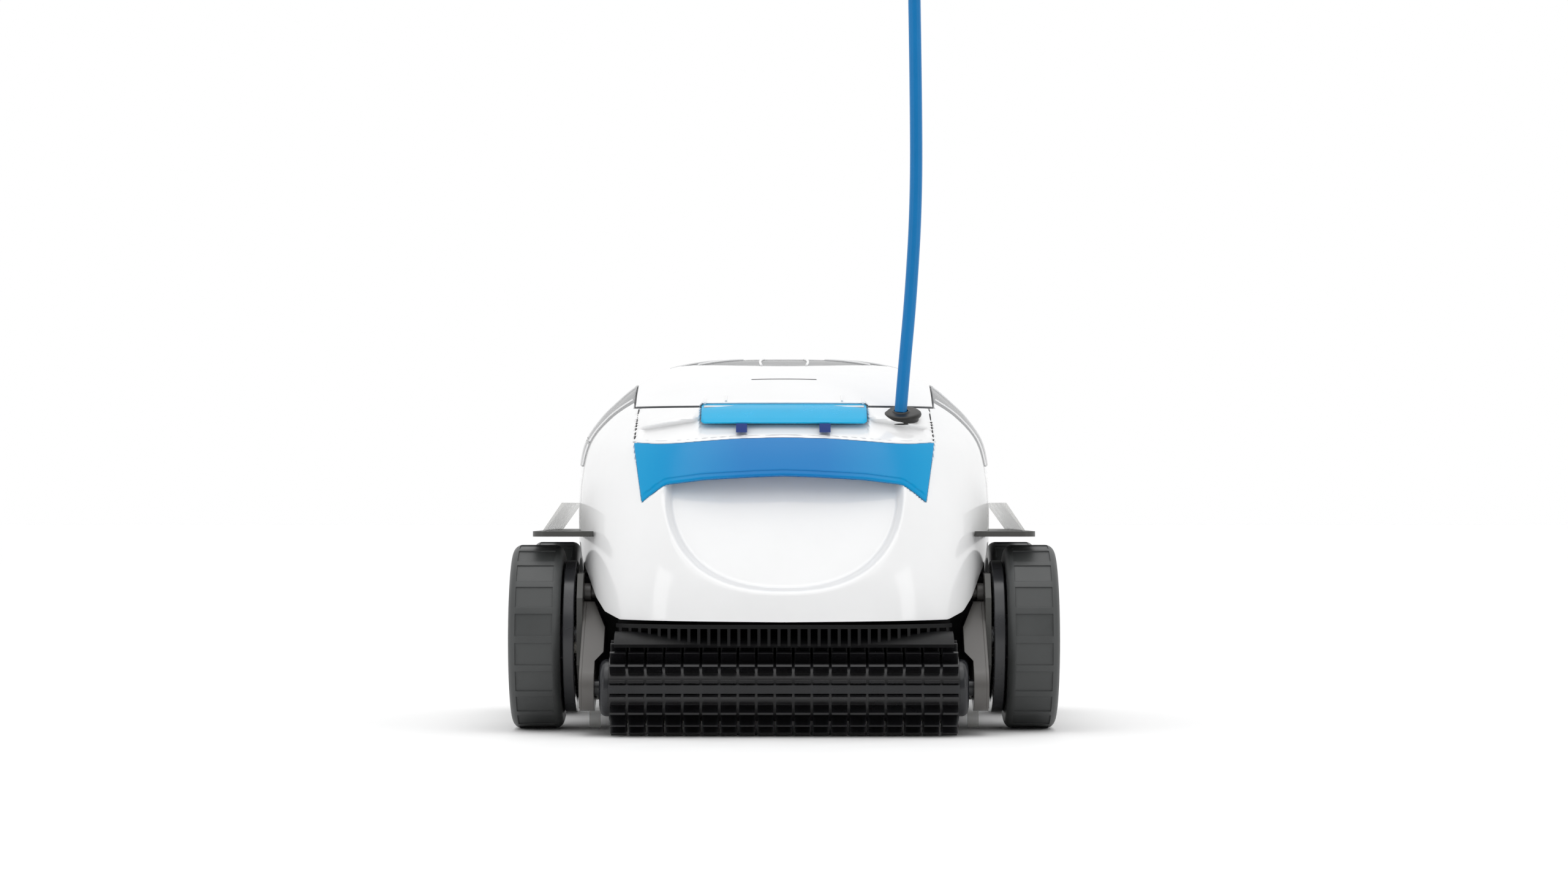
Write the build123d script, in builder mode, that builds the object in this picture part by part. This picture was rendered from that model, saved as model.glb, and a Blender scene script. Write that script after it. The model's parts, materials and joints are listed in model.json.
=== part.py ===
"""A corded pool-cleaning robot: a domed body on four treaded wheels, with a bladed roller brush at its front.

Frame: millimetres, +Z up, the cleaner faces -Y, and its own width runs along X. "left" means -X.
The origin is on the floor, in the middle of the cleaner's width and length.
"""
from build123d import *
from math import acos, atan2, cos, degrees, hypot, pi, radians, sin, tan
import os

os.makedirs("parts", exist_ok=True)

# ---------------------------------------------------------------- driving dimensions
TYRE_R = 69.5            # outer radius of a wheel
TYRE_OUT = 205.0         # |x| of a tyre's outer face
TYRE_IN = 166.5          # |x| of a tyre's inner face
FRONT_Y, REAR_Y = -85.0, 140.5   # wheel axles
AXLE_Z = TYRE_R
AXLE_R = 5.0
RIM_R = 57.0             # rim's seat for the tyre
RUNNING = 0.05           # radial clearance of a running fit

BRUSH_Y, BRUSH_Z = -175.0, 35.0
BRUSH_R = 35.0
BRUSH_HALF = 128.0
BRUSH_BLOCKS = 19
BRUSH_ROWS = 18
BLOCK_GAP = 2.0
SLEEVE_R = 24.5
CORE_R = 20.0
SHAFT_R = 6.0

WALL = 3.0               # moulded walls
GAP = 1.0                # joint line between neighbouring shells
SEAM_Z = 244.0           # height of the line between lid and body
SHOULDER_X = 114.5       # |x| of the line between lid and side windows
CHEEK_Y = -45.0          # where the front shell ends
TAIL_Y = 125.5           # where the rear shell begins
LID_END_Y = 146.0
HINGE_Y, HINGE_Z = 152.0, 262.0
FENDER_LOW, FENDER_TOP = 145.5, 149.5

OUTLET_Y = 67.0          # centre of the pump outlet in the lid
OUTLET_OUTER, OUTLET_INNER = (95.0, 62.0), (58.0, 38.0)   # semi-axes of its window ring
DUCT_R = 41.0

# Envelope of the body, from the chin up to the crest:
# height, half width, foremost y, rearmost y, squareness of the plan outline
ENVELOPE = [
    (66, 155, -203, 184, 3.4), (82, 157, -204, 188, 3.4), (110, 159, -200, 192, 3.3),
    (140, 160, -187, 194, 3.2), (168, 160.5, -171, 193, 3.1), (195, 160, -152, 189, 3.0),
    (218, 156, -133, 182, 2.9), (236, 145, -111, 172, 2.8), (250, 132, -86, 159, 2.7),
    (262, 119, -62, 143, 2.6), (272, 103, -36, 124, 2.5), (279, 84, -8, 103, 2.4),
    (283.4, 54, 18, 78, 2.2), (285, 0.5, 44, 46, 2.0),
]
WIDEST_Y = 45.0


# ---------------------------------------------------------------- body envelope
def station(level):
    """The envelope's numbers at a level: 0 is the chin's row, 13 the crest. Smooth between the rows."""
    i = min(max(int(level), 0), len(ENVELOPE) - 2)
    t = level - i
    rows = [ENVELOPE[min(max(k, 0), len(ENVELOPE) - 1)] for k in (i - 1, i, i + 1, i + 2)]
    return [0.5 * (2 * b + (c - a) * t + (2 * a - 5 * b + 4 * c - d) * t**2
                   + (3 * b - a - 3 * c + d) * t**3) for a, b, c, d in zip(*rows)]


def level_of(height):
    """The level whose height is the one given."""
    low, high = 0.0, len(ENVELOPE) - 1.0
    for _ in range(40):
        middle = (low + high) / 2
        low, high = (middle, high) if station(middle)[0] < height else (low, middle)
    return low


def plan_point(turn, level, inset=0.0):
    """A point of the envelope. turn is in degrees about the widest station, 0 at the front."""
    height, half, front, rear, square = station(level)
    a = radians(turn)
    reach = (WIDEST_Y - front if cos(a) > 0 else rear - WIDEST_Y) - inset
    r = (abs(sin(a) / (half - inset))**square + abs(cos(a) / reach)**square)**(-1 / square)
    return (r * sin(a), WIDEST_Y - r * cos(a), height)


def top_height(x, y):
    """Height of the envelope over a point of the plan."""
    low, high = 0.0, len(ENVELOPE) - 1.0
    for _ in range(40):
        middle = (low + high) / 2
        _, half, front, rear, square = station(middle)
        reach = WIDEST_Y - front if y < WIDEST_Y else rear - WIDEST_Y
        outside = abs(x / half)**square + abs((y - WIDEST_Y) / reach)**square > 1
        low, high = (low, middle) if outside else (middle, high)
    return station(low)[0]


def skin(turns, heights, inset=0.0, rows=26):
    """A spline face over part of the envelope, between two turns and two heights."""
    low, high = level_of(heights[0]), level_of(heights[1])
    steps = max(12, round(abs(turns[1] - turns[0]) / 4))
    grid = [[plan_point(turns[0] + (turns[1] - turns[0]) * j / steps, low + (high - low) * i / rows, inset)
             for j in range(steps + 1)] for i in range(rows + 1)]
    return Face.make_surface_from_array_of_points(grid)


def plan_prism(height, inset, low, high):
    """A vertical prism of the envelope's outline at a height."""
    with BuildPart() as prism:
        with BuildSketch(Plane.XY.offset(low)):
            with BuildLine():
                edge = [plan_point(turn, level_of(height), inset)[:2] for turn in range(-180, 180, 10)]
                Spline(*edge, periodic=True)
            make_face()
        extrude(amount=high - low)
    return prism.part


def outline(points):
    """A closed polyline from points of one half, mirrored over x = 0."""
    return Polyline(*points, *[(-x, y) for x, y in reversed(points)], close=True)


def save(part, name):
    part.label = name
    export_step(part, f"parts/{name}.step")


def sides():
    """The two sides of the cleaner."""
    return (("left", -1), ("right", 1))


def save_pair(make, name):
    """One node of two solids, left and right, that make(side) gives."""
    with BuildPart() as pair:
        for _, side in sides():
            add(make(side))
    save(pair.part, name)


def axle_plane(x, y, z):
    """A sketch plane across X: its own x is +Y and its own y is +Z."""
    return Plane(origin=(x, y, z), x_dir=(0, 1, 0), z_dir=(1, 0, 0))


# ---------------------------------------------------------------- gears
MODULE = 1.5
RING_TEETH, PINION_TEETH = 64, 12
TAKEOFF_TEETH, IDLER_TEETH, BRUSH_TEETH = 18, 22, 16
GEAR_W = 6.0


def tooth_line(teeth, phase, addendum, dedendum, share):
    """Corner points of a gear. share is the part of the pitch that a tooth fills at the pitch line."""
    pitch_r, pitch = MODULE * teeth / 2, 2 * pi / teeth
    points = []
    for k in range(teeth):
        middle = radians(phase) + k * pitch
        for r, part in ((pitch_r - dedendum, share * 1.45), (pitch_r + addendum, share * 0.55)):
            points.append((r, middle - pitch * part / 2))
        for r, part in ((pitch_r + addendum, share * 0.55), (pitch_r - dedendum, share * 1.45)):
            points.append((r, middle + pitch * part / 2))
    return [(r * cos(a), r * sin(a)) for r, a in points]


def outer_teeth(teeth, phase):
    return tooth_line(teeth, phase, 0.9 * MODULE, 1.15 * MODULE, 0.44)


def ring_hole(teeth, phase):
    """The hole of an inner-toothed ring: its gaps are the teeth of this outline."""
    return tooth_line(teeth, phase, 1.15 * MODULE, 0.9 * MODULE, 0.56)


def meshed(phase, teeth, direction, other_teeth, inner=False):
    """Phase of a second gear that meshes with a first one at this phase, in that direction."""
    pitch = 360 / teeth
    off = (phase - direction + pitch / 2) % pitch - pitch / 2
    if inner:
        return direction + off * teeth / other_teeth
    return direction + 180 - off * teeth / other_teeth + 180 / other_teeth


# Centres of the drive train, as (y, z), and its phases. The left wheel's ring turns the brush.
MOTOR_TURN = -10.0
ring_reach = MODULE * (RING_TEETH - PINION_TEETH) / 2
motor_at = (FRONT_Y + ring_reach * cos(radians(MOTOR_TURN)), AXLE_Z + ring_reach * sin(radians(MOTOR_TURN)))
chain = MODULE * (TAKEOFF_TEETH + 2 * IDLER_TEETH + BRUSH_TEETH) / 2
to_brush = hypot(BRUSH_Y - FRONT_Y, BRUSH_Z - AXLE_Z)
brush_turn = degrees(atan2(BRUSH_Z - AXLE_Z, BRUSH_Y - FRONT_Y))
bend = degrees(acos((ring_reach**2 + to_brush**2 - chain**2) / (2 * ring_reach * to_brush)))
TAKEOFF_TURN = brush_turn - bend
takeoff_at = (FRONT_Y + ring_reach * cos(radians(TAKEOFF_TURN)),
              AXLE_Z + ring_reach * sin(radians(TAKEOFF_TURN)))
chain_turn = degrees(atan2(BRUSH_Z - takeoff_at[1], BRUSH_Y - takeoff_at[0]))
first_reach = MODULE * (TAKEOFF_TEETH + IDLER_TEETH) / 2
idler_at = (takeoff_at[0] + first_reach * cos(radians(chain_turn)),
            takeoff_at[1] + first_reach * sin(radians(chain_turn)))

ring_phase = MOTOR_TURN
pinion_phase = MOTOR_TURN
inner_phase = meshed(ring_phase, RING_TEETH, TAKEOFF_TURN, PINION_TEETH, inner=True)
takeoff_phase = chain_turn
idler_phase = meshed(takeoff_phase, TAKEOFF_TEETH, chain_turn, IDLER_TEETH)
brush_phase = meshed(idler_phase, IDLER_TEETH, chain_turn, BRUSH_TEETH)
print("motor", motor_at, "takeoff", takeoff_at, "idler", idler_at)

# ---------------------------------------------------------------- x stations of one side, from the middle out
TRAY_X = 124.0
ARM_IN, ARM_OUT = 132.0, 150.0
ARM_WALL, COVER_IN = 141.0, 148.0
FRAME_IN, FRAME_OUT = 150.0, 154.5
SHAFT_END, TAKEOFF_SHAFT_R, IDLER_POST_R = 138.0, 4.0, 3.0
RING_IN, RING_OUT = 156.5, 165.0


def tyre_and_rim(name, side, front_y):
    """One wheel: a treaded tyre on a dished rim. Front and rear wheels are the same."""
    width, shoulder, panels = TYRE_OUT - TYRE_IN, 7.0, 20
    middle_x = (TYRE_OUT + TYRE_IN) / 2
    middle = side * middle_x
    with BuildPart() as tyre:
        with BuildSketch(axle_plane(middle - width / 2, front_y, AXLE_Z)):
            Circle(TYRE_R)
            Circle(RIM_R, mode=Mode.SUBTRACT)
        extrude(amount=width)
        rims = tyre.edges().filter_by(GeomType.CIRCLE).sort_by(lambda e: e.radius)[-2:]
        fillet(rims, shoulder)
        with Locations(axle_plane(middle, front_y, AXLE_Z)):
            with PolarLocations(TYRE_R + 4.0, panels, start_angle=180 / panels):
                Box(10.6, 16.5, width - 11.0, mode=Mode.SUBTRACT)
    save(tyre.part, f"{name}_tyre")
    with BuildPart() as rim:
        with BuildSketch(Plane.XY):
            with BuildLine():
                Polyline((AXLE_R + RUNNING, RING_OUT - middle_x), (AXLE_R + RUNNING, 10.0), (14.0, 10.0),
                         (44.0, 7.0), (RIM_R - 3.0, 15.0), (RIM_R, 15.0), (RIM_R, -15.0),
                         (RIM_R - 4.0, -15.0), (RIM_R - 4.0, 0.0), (44.0, 1.0), (20.0, 4.0),
                         (16.0, RING_OUT - middle_x), close=True)
            make_face()
        revolve(axis=Axis.Y)
        with BuildSketch(Plane.XZ.offset(-20)):
            with PolarLocations(31.0, 6):
                SlotCenterToCenter(11.0, 12.0, rotation=90)
        extrude(amount=40, mode=Mode.SUBTRACT)
    # The rim was drawn about Y with its outer face at +Y; turn it to the wheel's axle.
    placed = rim.part.rotate(Axis.Z, -90 * side).moved(Location((middle, front_y, AXLE_Z)))
    save(placed, f"{name}_rim")


for side_name, side in sides():
    tyre_and_rim(f"front_{side_name}", side, FRONT_Y)
    tyre_and_rim(f"rear_{side_name}", side, REAR_Y)


# ---------------------------------------------------------------- drive train
for side_name, side in sides():
    inner = side * RING_IN
    with BuildPart() as ring_gear:
        with BuildSketch(axle_plane(inner, FRONT_Y, AXLE_Z)):
            Circle(57.5)
            with BuildLine():
                Polyline(*ring_hole(RING_TEETH, ring_phase), close=True)
            make_face(mode=Mode.SUBTRACT)
        extrude(amount=side * (RING_OUT - RING_IN - 1.5))
        with BuildSketch(axle_plane(side * (RING_OUT - 1.5), FRONT_Y, AXLE_Z)):
            Circle(57.5)
            Circle(9.0, mode=Mode.SUBTRACT)
        extrude(amount=side * 1.5)
        outer_rims = ring_gear.edges().filter_by(GeomType.CIRCLE).sort_by(lambda e: e.radius)[-2:]
        chamfer(outer_rims, 0.6)
    save(ring_gear.part, f"{side_name}_ring_gear")

    with BuildPart() as pinion:
        with BuildSketch(axle_plane(side * (RING_IN + 0.5), *motor_at)):
            with BuildLine():
                Polyline(*outer_teeth(PINION_TEETH, pinion_phase), close=True)
            make_face()
        extrude(amount=side * (GEAR_W - 0.5))
        with BuildSketch(axle_plane(side * 120.0, *motor_at)):
            Circle(2.5)
        extrude(amount=side * (RING_IN + 0.5 - 120.0))
    save(pinion.part, f"{side_name}_motor_pinion")


def drive_motor(side):
    with BuildPart() as motor:
        with BuildSketch(axle_plane(side * 34.0, *motor_at)):
            Circle(18.0)
        extrude(amount=side * 62.0)
        with BuildSketch(axle_plane(side * 96.0, *motor_at)):
            RectangleRounded(38.0, 38.0, 6.0)
        extrude(amount=side * 22.0)
        with BuildSketch(axle_plane(side * 119.5, *motor_at)):
            Circle(2.5 + RUNNING)
        extrude(amount=-side * 20.0, mode=Mode.SUBTRACT)
        back_edge = motor.edges().filter_by(GeomType.CIRCLE).filter_by(lambda e: e.radius > 17)
        fillet(back_edge.sort_by(lambda e: abs(e.center().X))[0], 1.5)
    return motor.part


save_pair(drive_motor, "drive_motors")

with BuildPart() as takeoff:
    with BuildSketch(axle_plane(-RING_IN - 0.5, *takeoff_at)):
        with BuildLine():
            Polyline(*outer_teeth(PINION_TEETH, inner_phase), close=True)
        make_face()
    extrude(amount=-(GEAR_W - 0.5))
    with BuildSketch(axle_plane(-ARM_OUT + 2.5, *takeoff_at)):
        with BuildLine():
            Polyline(*outer_teeth(TAKEOFF_TEETH, takeoff_phase), close=True)
        make_face()
    extrude(amount=GEAR_W)
    with BuildSketch(axle_plane(-SHAFT_END, *takeoff_at)):
        Circle(TAKEOFF_SHAFT_R)
    extrude(amount=-(RING_IN + 0.5 - SHAFT_END))
save(takeoff.part, "takeoff_gear")

with BuildPart() as idler:
    with BuildSketch(axle_plane(-ARM_OUT + 2.5, *idler_at)):
        with BuildLine():
            Polyline(*outer_teeth(IDLER_TEETH, idler_phase), close=True)
        make_face()
        Circle(IDLER_POST_R + RUNNING, mode=Mode.SUBTRACT)
    extrude(amount=GEAR_W)
save(idler.part, "idler_gear")


# ---------------------------------------------------------------- roller brush
with BuildPart() as core:
    with BuildSketch(axle_plane(-BRUSH_HALF, BRUSH_Y, BRUSH_Z)):
        Circle(CORE_R)
    extrude(amount=2 * BRUSH_HALF)
    with BuildSketch(axle_plane(-ARM_OUT + 2.5, BRUSH_Y, BRUSH_Z)):
        Circle(SHAFT_R)
    extrude(amount=ARM_OUT - 2.5 + ARM_OUT - 6.0)
    with BuildSketch(axle_plane(-ARM_OUT + 2.5, BRUSH_Y, BRUSH_Z)):
        with BuildLine():
            Polyline(*outer_teeth(BRUSH_TEETH, brush_phase), close=True)
        make_face()
    extrude(amount=GEAR_W)
save(core.part, "brush_core")

with BuildPart() as blades:
    pitch = 2 * BRUSH_HALF / BRUSH_BLOCKS
    with BuildSketch(axle_plane(-BRUSH_HALF, BRUSH_Y, BRUSH_Z)):
        Circle(SLEEVE_R)
        Circle(CORE_R, mode=Mode.SUBTRACT)
    extrude(amount=2 * BRUSH_HALF)
    with BuildSketch(axle_plane(-BRUSH_HALF + BLOCK_GAP / 2, BRUSH_Y, BRUSH_Z)) as fan:
        with PolarLocations((SLEEVE_R + BRUSH_R) / 2 - 0.5, BRUSH_ROWS, start_angle=-90):
            Rectangle(BRUSH_R - SLEEVE_R + 1.0, 1.8)
    for block in range(BRUSH_BLOCKS):
        extrude(fan.sketch.moved(Location((block * pitch, 0, 0))), amount=pitch - BLOCK_GAP, dir=(1, 0, 0))
save(blades.part, "brush_blades")

with BuildPart() as end_caps:
    for side in (-1, 1):
        with BuildSketch(axle_plane(side * BRUSH_HALF, BRUSH_Y, BRUSH_Z)):
            Circle(21.0)
            Circle(SHAFT_R, mode=Mode.SUBTRACT)
        extrude(amount=side * 7.2)
        rim = end_caps.edges().filter_by(GeomType.CIRCLE).filter_by(lambda e: e.radius > 20)
        fillet(rim.sort_by(Axis.X)[-1 if side > 0 else 0], 5.0)
save(end_caps.part, "brush_end_caps")

with BuildPart() as seam:
    with BuildSketch(axle_plane(-BRUSH_HALF, BRUSH_Y, BRUSH_Z)):
        with Locations((-(SLEEVE_R + 1.2), 0.0)):
            Rectangle(1.6, 6.5)
    extrude(amount=2 * BRUSH_HALF)
save(seam.part, "brush_seam_bar")


# ---------------------------------------------------------------- brush arms
def arm_profile(side, x, shrink=0.0, with_top=True):
    """The arm's side view as a hull of circles round the brush, the gears and the top boss."""
    with BuildSketch(axle_plane(side * x, 0, 0)) as profile:
        for (y, z), r in (((BRUSH_Y, BRUSH_Z), 17.0), (idler_at, 20.5), (takeoff_at, 19.0)):
            with Locations((y, z)):
                Circle(r - shrink)
        if with_top:
            with Locations(ARM_TOP):
                Circle(9.0)
        make_hull()
    return profile.sketch


ARM_TOP = (-118.0, 88.0)
for side_name, side in sides():
    housing_outline = arm_profile(side, ARM_IN)
    cavity_outline = arm_profile(side, ARM_WALL, shrink=1.8, with_top=False)
    with BuildPart() as arm:
        extrude(housing_outline, amount=side * (COVER_IN - ARM_IN))
        if side < 0:
            extrude(cavity_outline, amount=side * (COVER_IN - ARM_WALL), mode=Mode.SUBTRACT)
            with BuildSketch(axle_plane(side * ARM_WALL, *idler_at)):
                Circle(IDLER_POST_R)
            extrude(amount=side * (COVER_IN - ARM_WALL))
            with BuildSketch(axle_plane(side * (SHAFT_END - 0.5), *takeoff_at)):
                Circle(TAKEOFF_SHAFT_R + RUNNING)
            extrude(amount=side * 12.0, mode=Mode.SUBTRACT)
        # The inner face steps back below the gears, and slopes back at the top.
        with BuildSketch(Plane.XZ.offset(80)):
            with BuildLine():
                Polyline((side * 130, 10), (side * 139, 10), (side * 139, 54.7), (side * 133, 61),
                         (side * 133, 78.5), (side * 142, 97), (side * 142, 115), (side * 130, 115), close=True)
            make_face()
        extrude(amount=130, mode=Mode.SUBTRACT)
        with BuildSketch(axle_plane(side * 138.0, BRUSH_Y, BRUSH_Z)):
            Circle(SHAFT_R + RUNNING)
        extrude(amount=side * (6.4 if side > 0 else 4.0), mode=Mode.SUBTRACT)
    save(arm.part, f"{side_name}_arm")


def arm_cover(side):
    with BuildPart() as cover:
        extrude(arm_profile(side, COVER_IN), amount=side * (ARM_OUT - COVER_IN))
        if side < 0:
            with BuildSketch(axle_plane(side * COVER_IN, *takeoff_at)):
                Circle(TAKEOFF_SHAFT_R + 0.4)
            extrude(amount=side * 4.0, mode=Mode.SUBTRACT)
    return cover.part


save_pair(arm_cover, "arm_covers")

with BuildPart() as tie_rods:
    for side in (-1, 1):
        for start, end, r in ((TRAY_X, FRAME_IN, 4.3), (145.0, FRAME_IN, 7.0)):
            with BuildSketch(axle_plane(side * start, -110.0, 103.5)):
                Circle(r)
            extrude(amount=side * (end - start))
save(tie_rods.part, "tie_rods")


# ---------------------------------------------------------------- chassis
TRAY_Z, TRAY_TOP = 22.0, 112.0
TRAY_FRONT, TRAY_STEP, TRAY_REAR = -133.5, -92.0, 183.0
DECK_LOW, DECK_TOP = 195.5, 199.5
MOUTH = (180.0, 22.0, -94.0)    # length, width and y of the suction mouth
WELL_FRONT, WELL_REAR = -115.0, 146.0
POCKET_DEEP = -127.0     # y of the grip pocket's back wall


def tray_outline(inset=0.0):
    """The tray in plan: narrow between the brush arms, wide between the side frames."""
    front, step, rear = TRAY_FRONT + inset, TRAY_STEP + inset, TRAY_REAR - inset
    narrow, wide = TRAY_X - inset, FRAME_IN - inset
    return [(narrow, front), (narrow, step), (wide, step), (wide, 118.0), (wide - 10.0, 140.0),
            (wide - 28.0, 160.0 - inset), (88.0 - inset, 177.0 - inset), (60.0, rear)]


def well_outline(inset=0.0):
    return [(116.0 - inset, WELL_FRONT + inset), (130.0 - inset, -80.0), (130.0 - inset, 120.0),
            (112.0 - inset, WELL_REAR - inset)]


with BuildPart() as tray:
    for inset, low, mode in ((0.0, TRAY_Z, Mode.ADD), (WALL, TRAY_Z + WALL, Mode.SUBTRACT)):
        with BuildSketch(Plane.XY.offset(low)):
            with BuildLine():
                outline(tray_outline(inset))
            make_face()
        extrude(amount=TRAY_TOP - low, mode=mode)
    with BuildSketch(Plane.XY.offset(TRAY_Z)):
        with Locations((0, MOUTH[2])):
            RectangleRounded(MOUTH[0], MOUTH[1], 6.0)
    extrude(amount=WALL, mode=Mode.SUBTRACT)
    for side in (-1, 1):
        with BuildSketch(axle_plane(side * 140.0, *motor_at)):
            Circle(4.0)
        extrude(amount=side * 12.0, mode=Mode.SUBTRACT)
save(tray.part, "base_tray")

with BuildPart() as well:
    with BuildSketch(Plane.XY.offset(TRAY_TOP)):
        with BuildLine():
            outline(tray_outline())
        make_face()
        with BuildLine():
            outline(well_outline(WALL))
        make_face(mode=Mode.SUBTRACT)
    extrude(amount=WALL)
    with BuildSketch(Plane.XY.offset(TRAY_TOP)):
        with BuildLine():
            outline(well_outline())
        make_face()
        with BuildLine():
            outline(well_outline(WALL))
        make_face(mode=Mode.SUBTRACT)
    extrude(amount=DECK_LOW - TRAY_TOP)
save(well.part, "filter_well")

BASKET_X, BASKET_FRONT, BASKET_REAR = 104.0, -108.0, 20.0
BASKET_Y = (BASKET_FRONT + BASKET_REAR) / 2
BASKET_LENGTH = BASKET_REAR - BASKET_FRONT
BASKET_LOW = 90.0

with BuildPart() as deck:
    with BuildSketch(Plane.XY.offset(DECK_LOW)):
        with BuildLine():
            rim_points = [plan_point(turn, level_of(197.5), 2.0)[:2] for turn in range(-180, 180, 12)]
            Spline(*rim_points, periodic=True)
        make_face()
        with Locations((0, BASKET_Y)):
            Rectangle(2 * BASKET_X + 0.6, BASKET_LENGTH + 0.6, mode=Mode.SUBTRACT)
        with Locations((0, OUTLET_Y)):
            Circle(DUCT_R - WALL, mode=Mode.SUBTRACT)
        with Locations((0, POCKET_DEEP + WALL - 40)):
            Rectangle(320, 80, mode=Mode.SUBTRACT)
        # Room for the band's ends.
        with Locations((-107, -137), (107, -137)):
            Rectangle(14, 42, mode=Mode.SUBTRACT)
    extrude(amount=DECK_TOP - DECK_LOW)
save(deck.part, "inner_deck")


def side_frame(side):
    with BuildPart() as frame:
        with BuildSketch(axle_plane(side * FRAME_IN, 0, 0)):
            with BuildLine():
                Polyline((-140, 50), (-140, 100), (-126, 118), (-44.5, 118), (-40, FENDER_LOW),
                         (104, FENDER_LOW), (114, 118), (172, 118), (172, 40), (150, 24), (-110, 24),
                         close=True)
            make_face()
            with Locations((FRONT_Y, AXLE_Z), (REAR_Y, AXLE_Z)):
                Circle(AXLE_R, mode=Mode.SUBTRACT)
            with Locations(motor_at):
                Circle(4.0, mode=Mode.SUBTRACT)
            if side < 0:
                with Locations(takeoff_at):
                    Circle(TAKEOFF_SHAFT_R + 0.6, mode=Mode.SUBTRACT)
        extrude(amount=side * (FRAME_OUT - FRAME_IN))
    return frame.part


save_pair(side_frame, "side_frames")

with BuildPart() as axles:
    for side in (-1, 1):
        for y in (FRONT_Y, REAR_Y):
            for start, end, r in ((FRAME_IN, 201.0, AXLE_R), (FRAME_OUT, RING_OUT - 0.3, 8.5)):
                with BuildSketch(axle_plane(side * start, y, AXLE_Z)):
                    Circle(r)
                extrude(amount=side * (end - start))
save(axles.part, "stub_axles")

with BuildPart() as washers:
    for side in (-1, 1):
        for y in (FRONT_Y, REAR_Y):
            with BuildSketch(axle_plane(side * 196.1, y, AXLE_Z)):
                Circle(12.0)
                Circle(AXLE_R, mode=Mode.SUBTRACT)
            extrude(amount=side * 4.9)
save(washers.part, "axle_caps")


def fender(side):
    with BuildPart() as plate:
        with BuildSketch(Plane.XY.offset(FENDER_LOW)):
            with Locations((side * 166.0, 32.0)):
                RectangleRounded(46.0, 310.0, 12.0)
            with BuildLine():
                edge = [plan_point(turn, level_of(147.5), -1.0)[:2] for turn in range(-180, 180, 12)]
                Spline(*edge, periodic=True)
            make_face(mode=Mode.SUBTRACT)
            with Locations((side * 160.0, 31.0)):
                Rectangle(34.0, 146.0)
        extrude(amount=FENDER_TOP - FENDER_LOW)
    return plate.part


def fender_skirt(side):
    with BuildPart() as skirt:
        with BuildSketch(Plane.XZ.offset(100)):
            with BuildLine():
                Polyline((side * 180.5, FENDER_TOP), (side * 182.5, FENDER_TOP), (side * 168.0, 171.0),
                         (side * 165.0, 171.0), close=True)
            make_face()
        extrude(amount=-230)
    return skirt.part


save_pair(fender, "fenders")
save_pair(fender_skirt, "fender_skirts")

with BuildPart() as flaps:
    for side in (-1, 1):
        with BuildSketch(Plane.XZ.offset(-TRAY_STEP)):
            with Locations((side * 143.0, 20.5)):
                RectangleRounded(8.5, 39.0, 1.5)
        extrude(amount=1.5)
save(flaps.part, "side_flaps")


# ---------------------------------------------------------------- brush hood and grille
HOOD_R = BRUSH_R + 3.5
with BuildPart() as hood:
    with BuildSketch(axle_plane(-TRAY_X, BRUSH_Y, BRUSH_Z)):
        with BuildLine():
            CenterArc((0, 0), HOOD_R + WALL, 0, 128)
            CenterArc((0, 0), HOOD_R, 0, 128)
            Line((HOOD_R, 0), (HOOD_R + WALL, 0))
            tip = radians(128)
            Line((HOOD_R * cos(tip), HOOD_R * sin(tip)),
                 ((HOOD_R + WALL) * cos(tip), (HOOD_R + WALL) * sin(tip)))
        make_face()
    extrude(amount=2 * TRAY_X)
save(hood.part, "brush_hood")

GRILLE_RIBS, GRILLE_PITCH = 34, 7.3
LIP_Z = 82.0
with BuildPart() as grille:
    with BuildSketch(Plane.XY.offset(LIP_Z - 3.0)):
        with Locations((0, -180.0)):
            Rectangle(2 * TRAY_X, 44.0)
    extrude(amount=3.0)
    with BuildSketch(Plane.XY.offset(LIP_Z - 2.0)):
        with Locations((0, -180.0)):
            with GridLocations(GRILLE_PITCH, 1, GRILLE_RIBS, 1):
                Rectangle(2.2, 44.0)
    extrude(amount=-24.0)
    add(plan_prism(LIP_Z, 0.6, 50, 90), mode=Mode.INTERSECT)
    with BuildSketch(axle_plane(-TRAY_X - 10, BRUSH_Y, BRUSH_Z)):
        Circle(HOOD_R + WALL)
    extrude(amount=2 * TRAY_X + 20, mode=Mode.SUBTRACT)
save(grille.part, "inlet_grille")


# ---------------------------------------------------------------- body shells
LOWER_EDGE = [(0, 82), (98, 82), (121, 85), (133, 90.5), (140.5, 101), (147.5, 117), (153.5, 128),
              (158, 143), (161, 160), (170, 160)]
BAND_TOP = [(0, 219.5), (35, 218.6), (60, 216.8), (78, 215.3), (94, 214.7), (113, 216)]
BAND_BOTTOM = [(105.5, 171.5), (96, 179), (88, 184.6), (60, 188.3), (23, 190.4), (0, 191.2)]
SCOOP_X, SCOOP_Z, SCOOP_DROP = 88.0, 184.0, 80.0


def mirrored(points):
    """Points of the right half, continued over the middle to the left."""
    return points + [(-x, z) for x, z in reversed(points) if x > 0]


def band_face():
    """The handle band from the front."""
    top, bottom = mirrored(BAND_TOP[::-1]), mirrored(BAND_BOTTOM)
    with BuildSketch(Plane.XZ.offset(60)) as face:
        with BuildLine():
            Spline(*top)
            Spline(*bottom)
            Line(top[0], bottom[0])
            Line(top[-1], bottom[-1])
        make_face()
    return face.sketch


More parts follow.
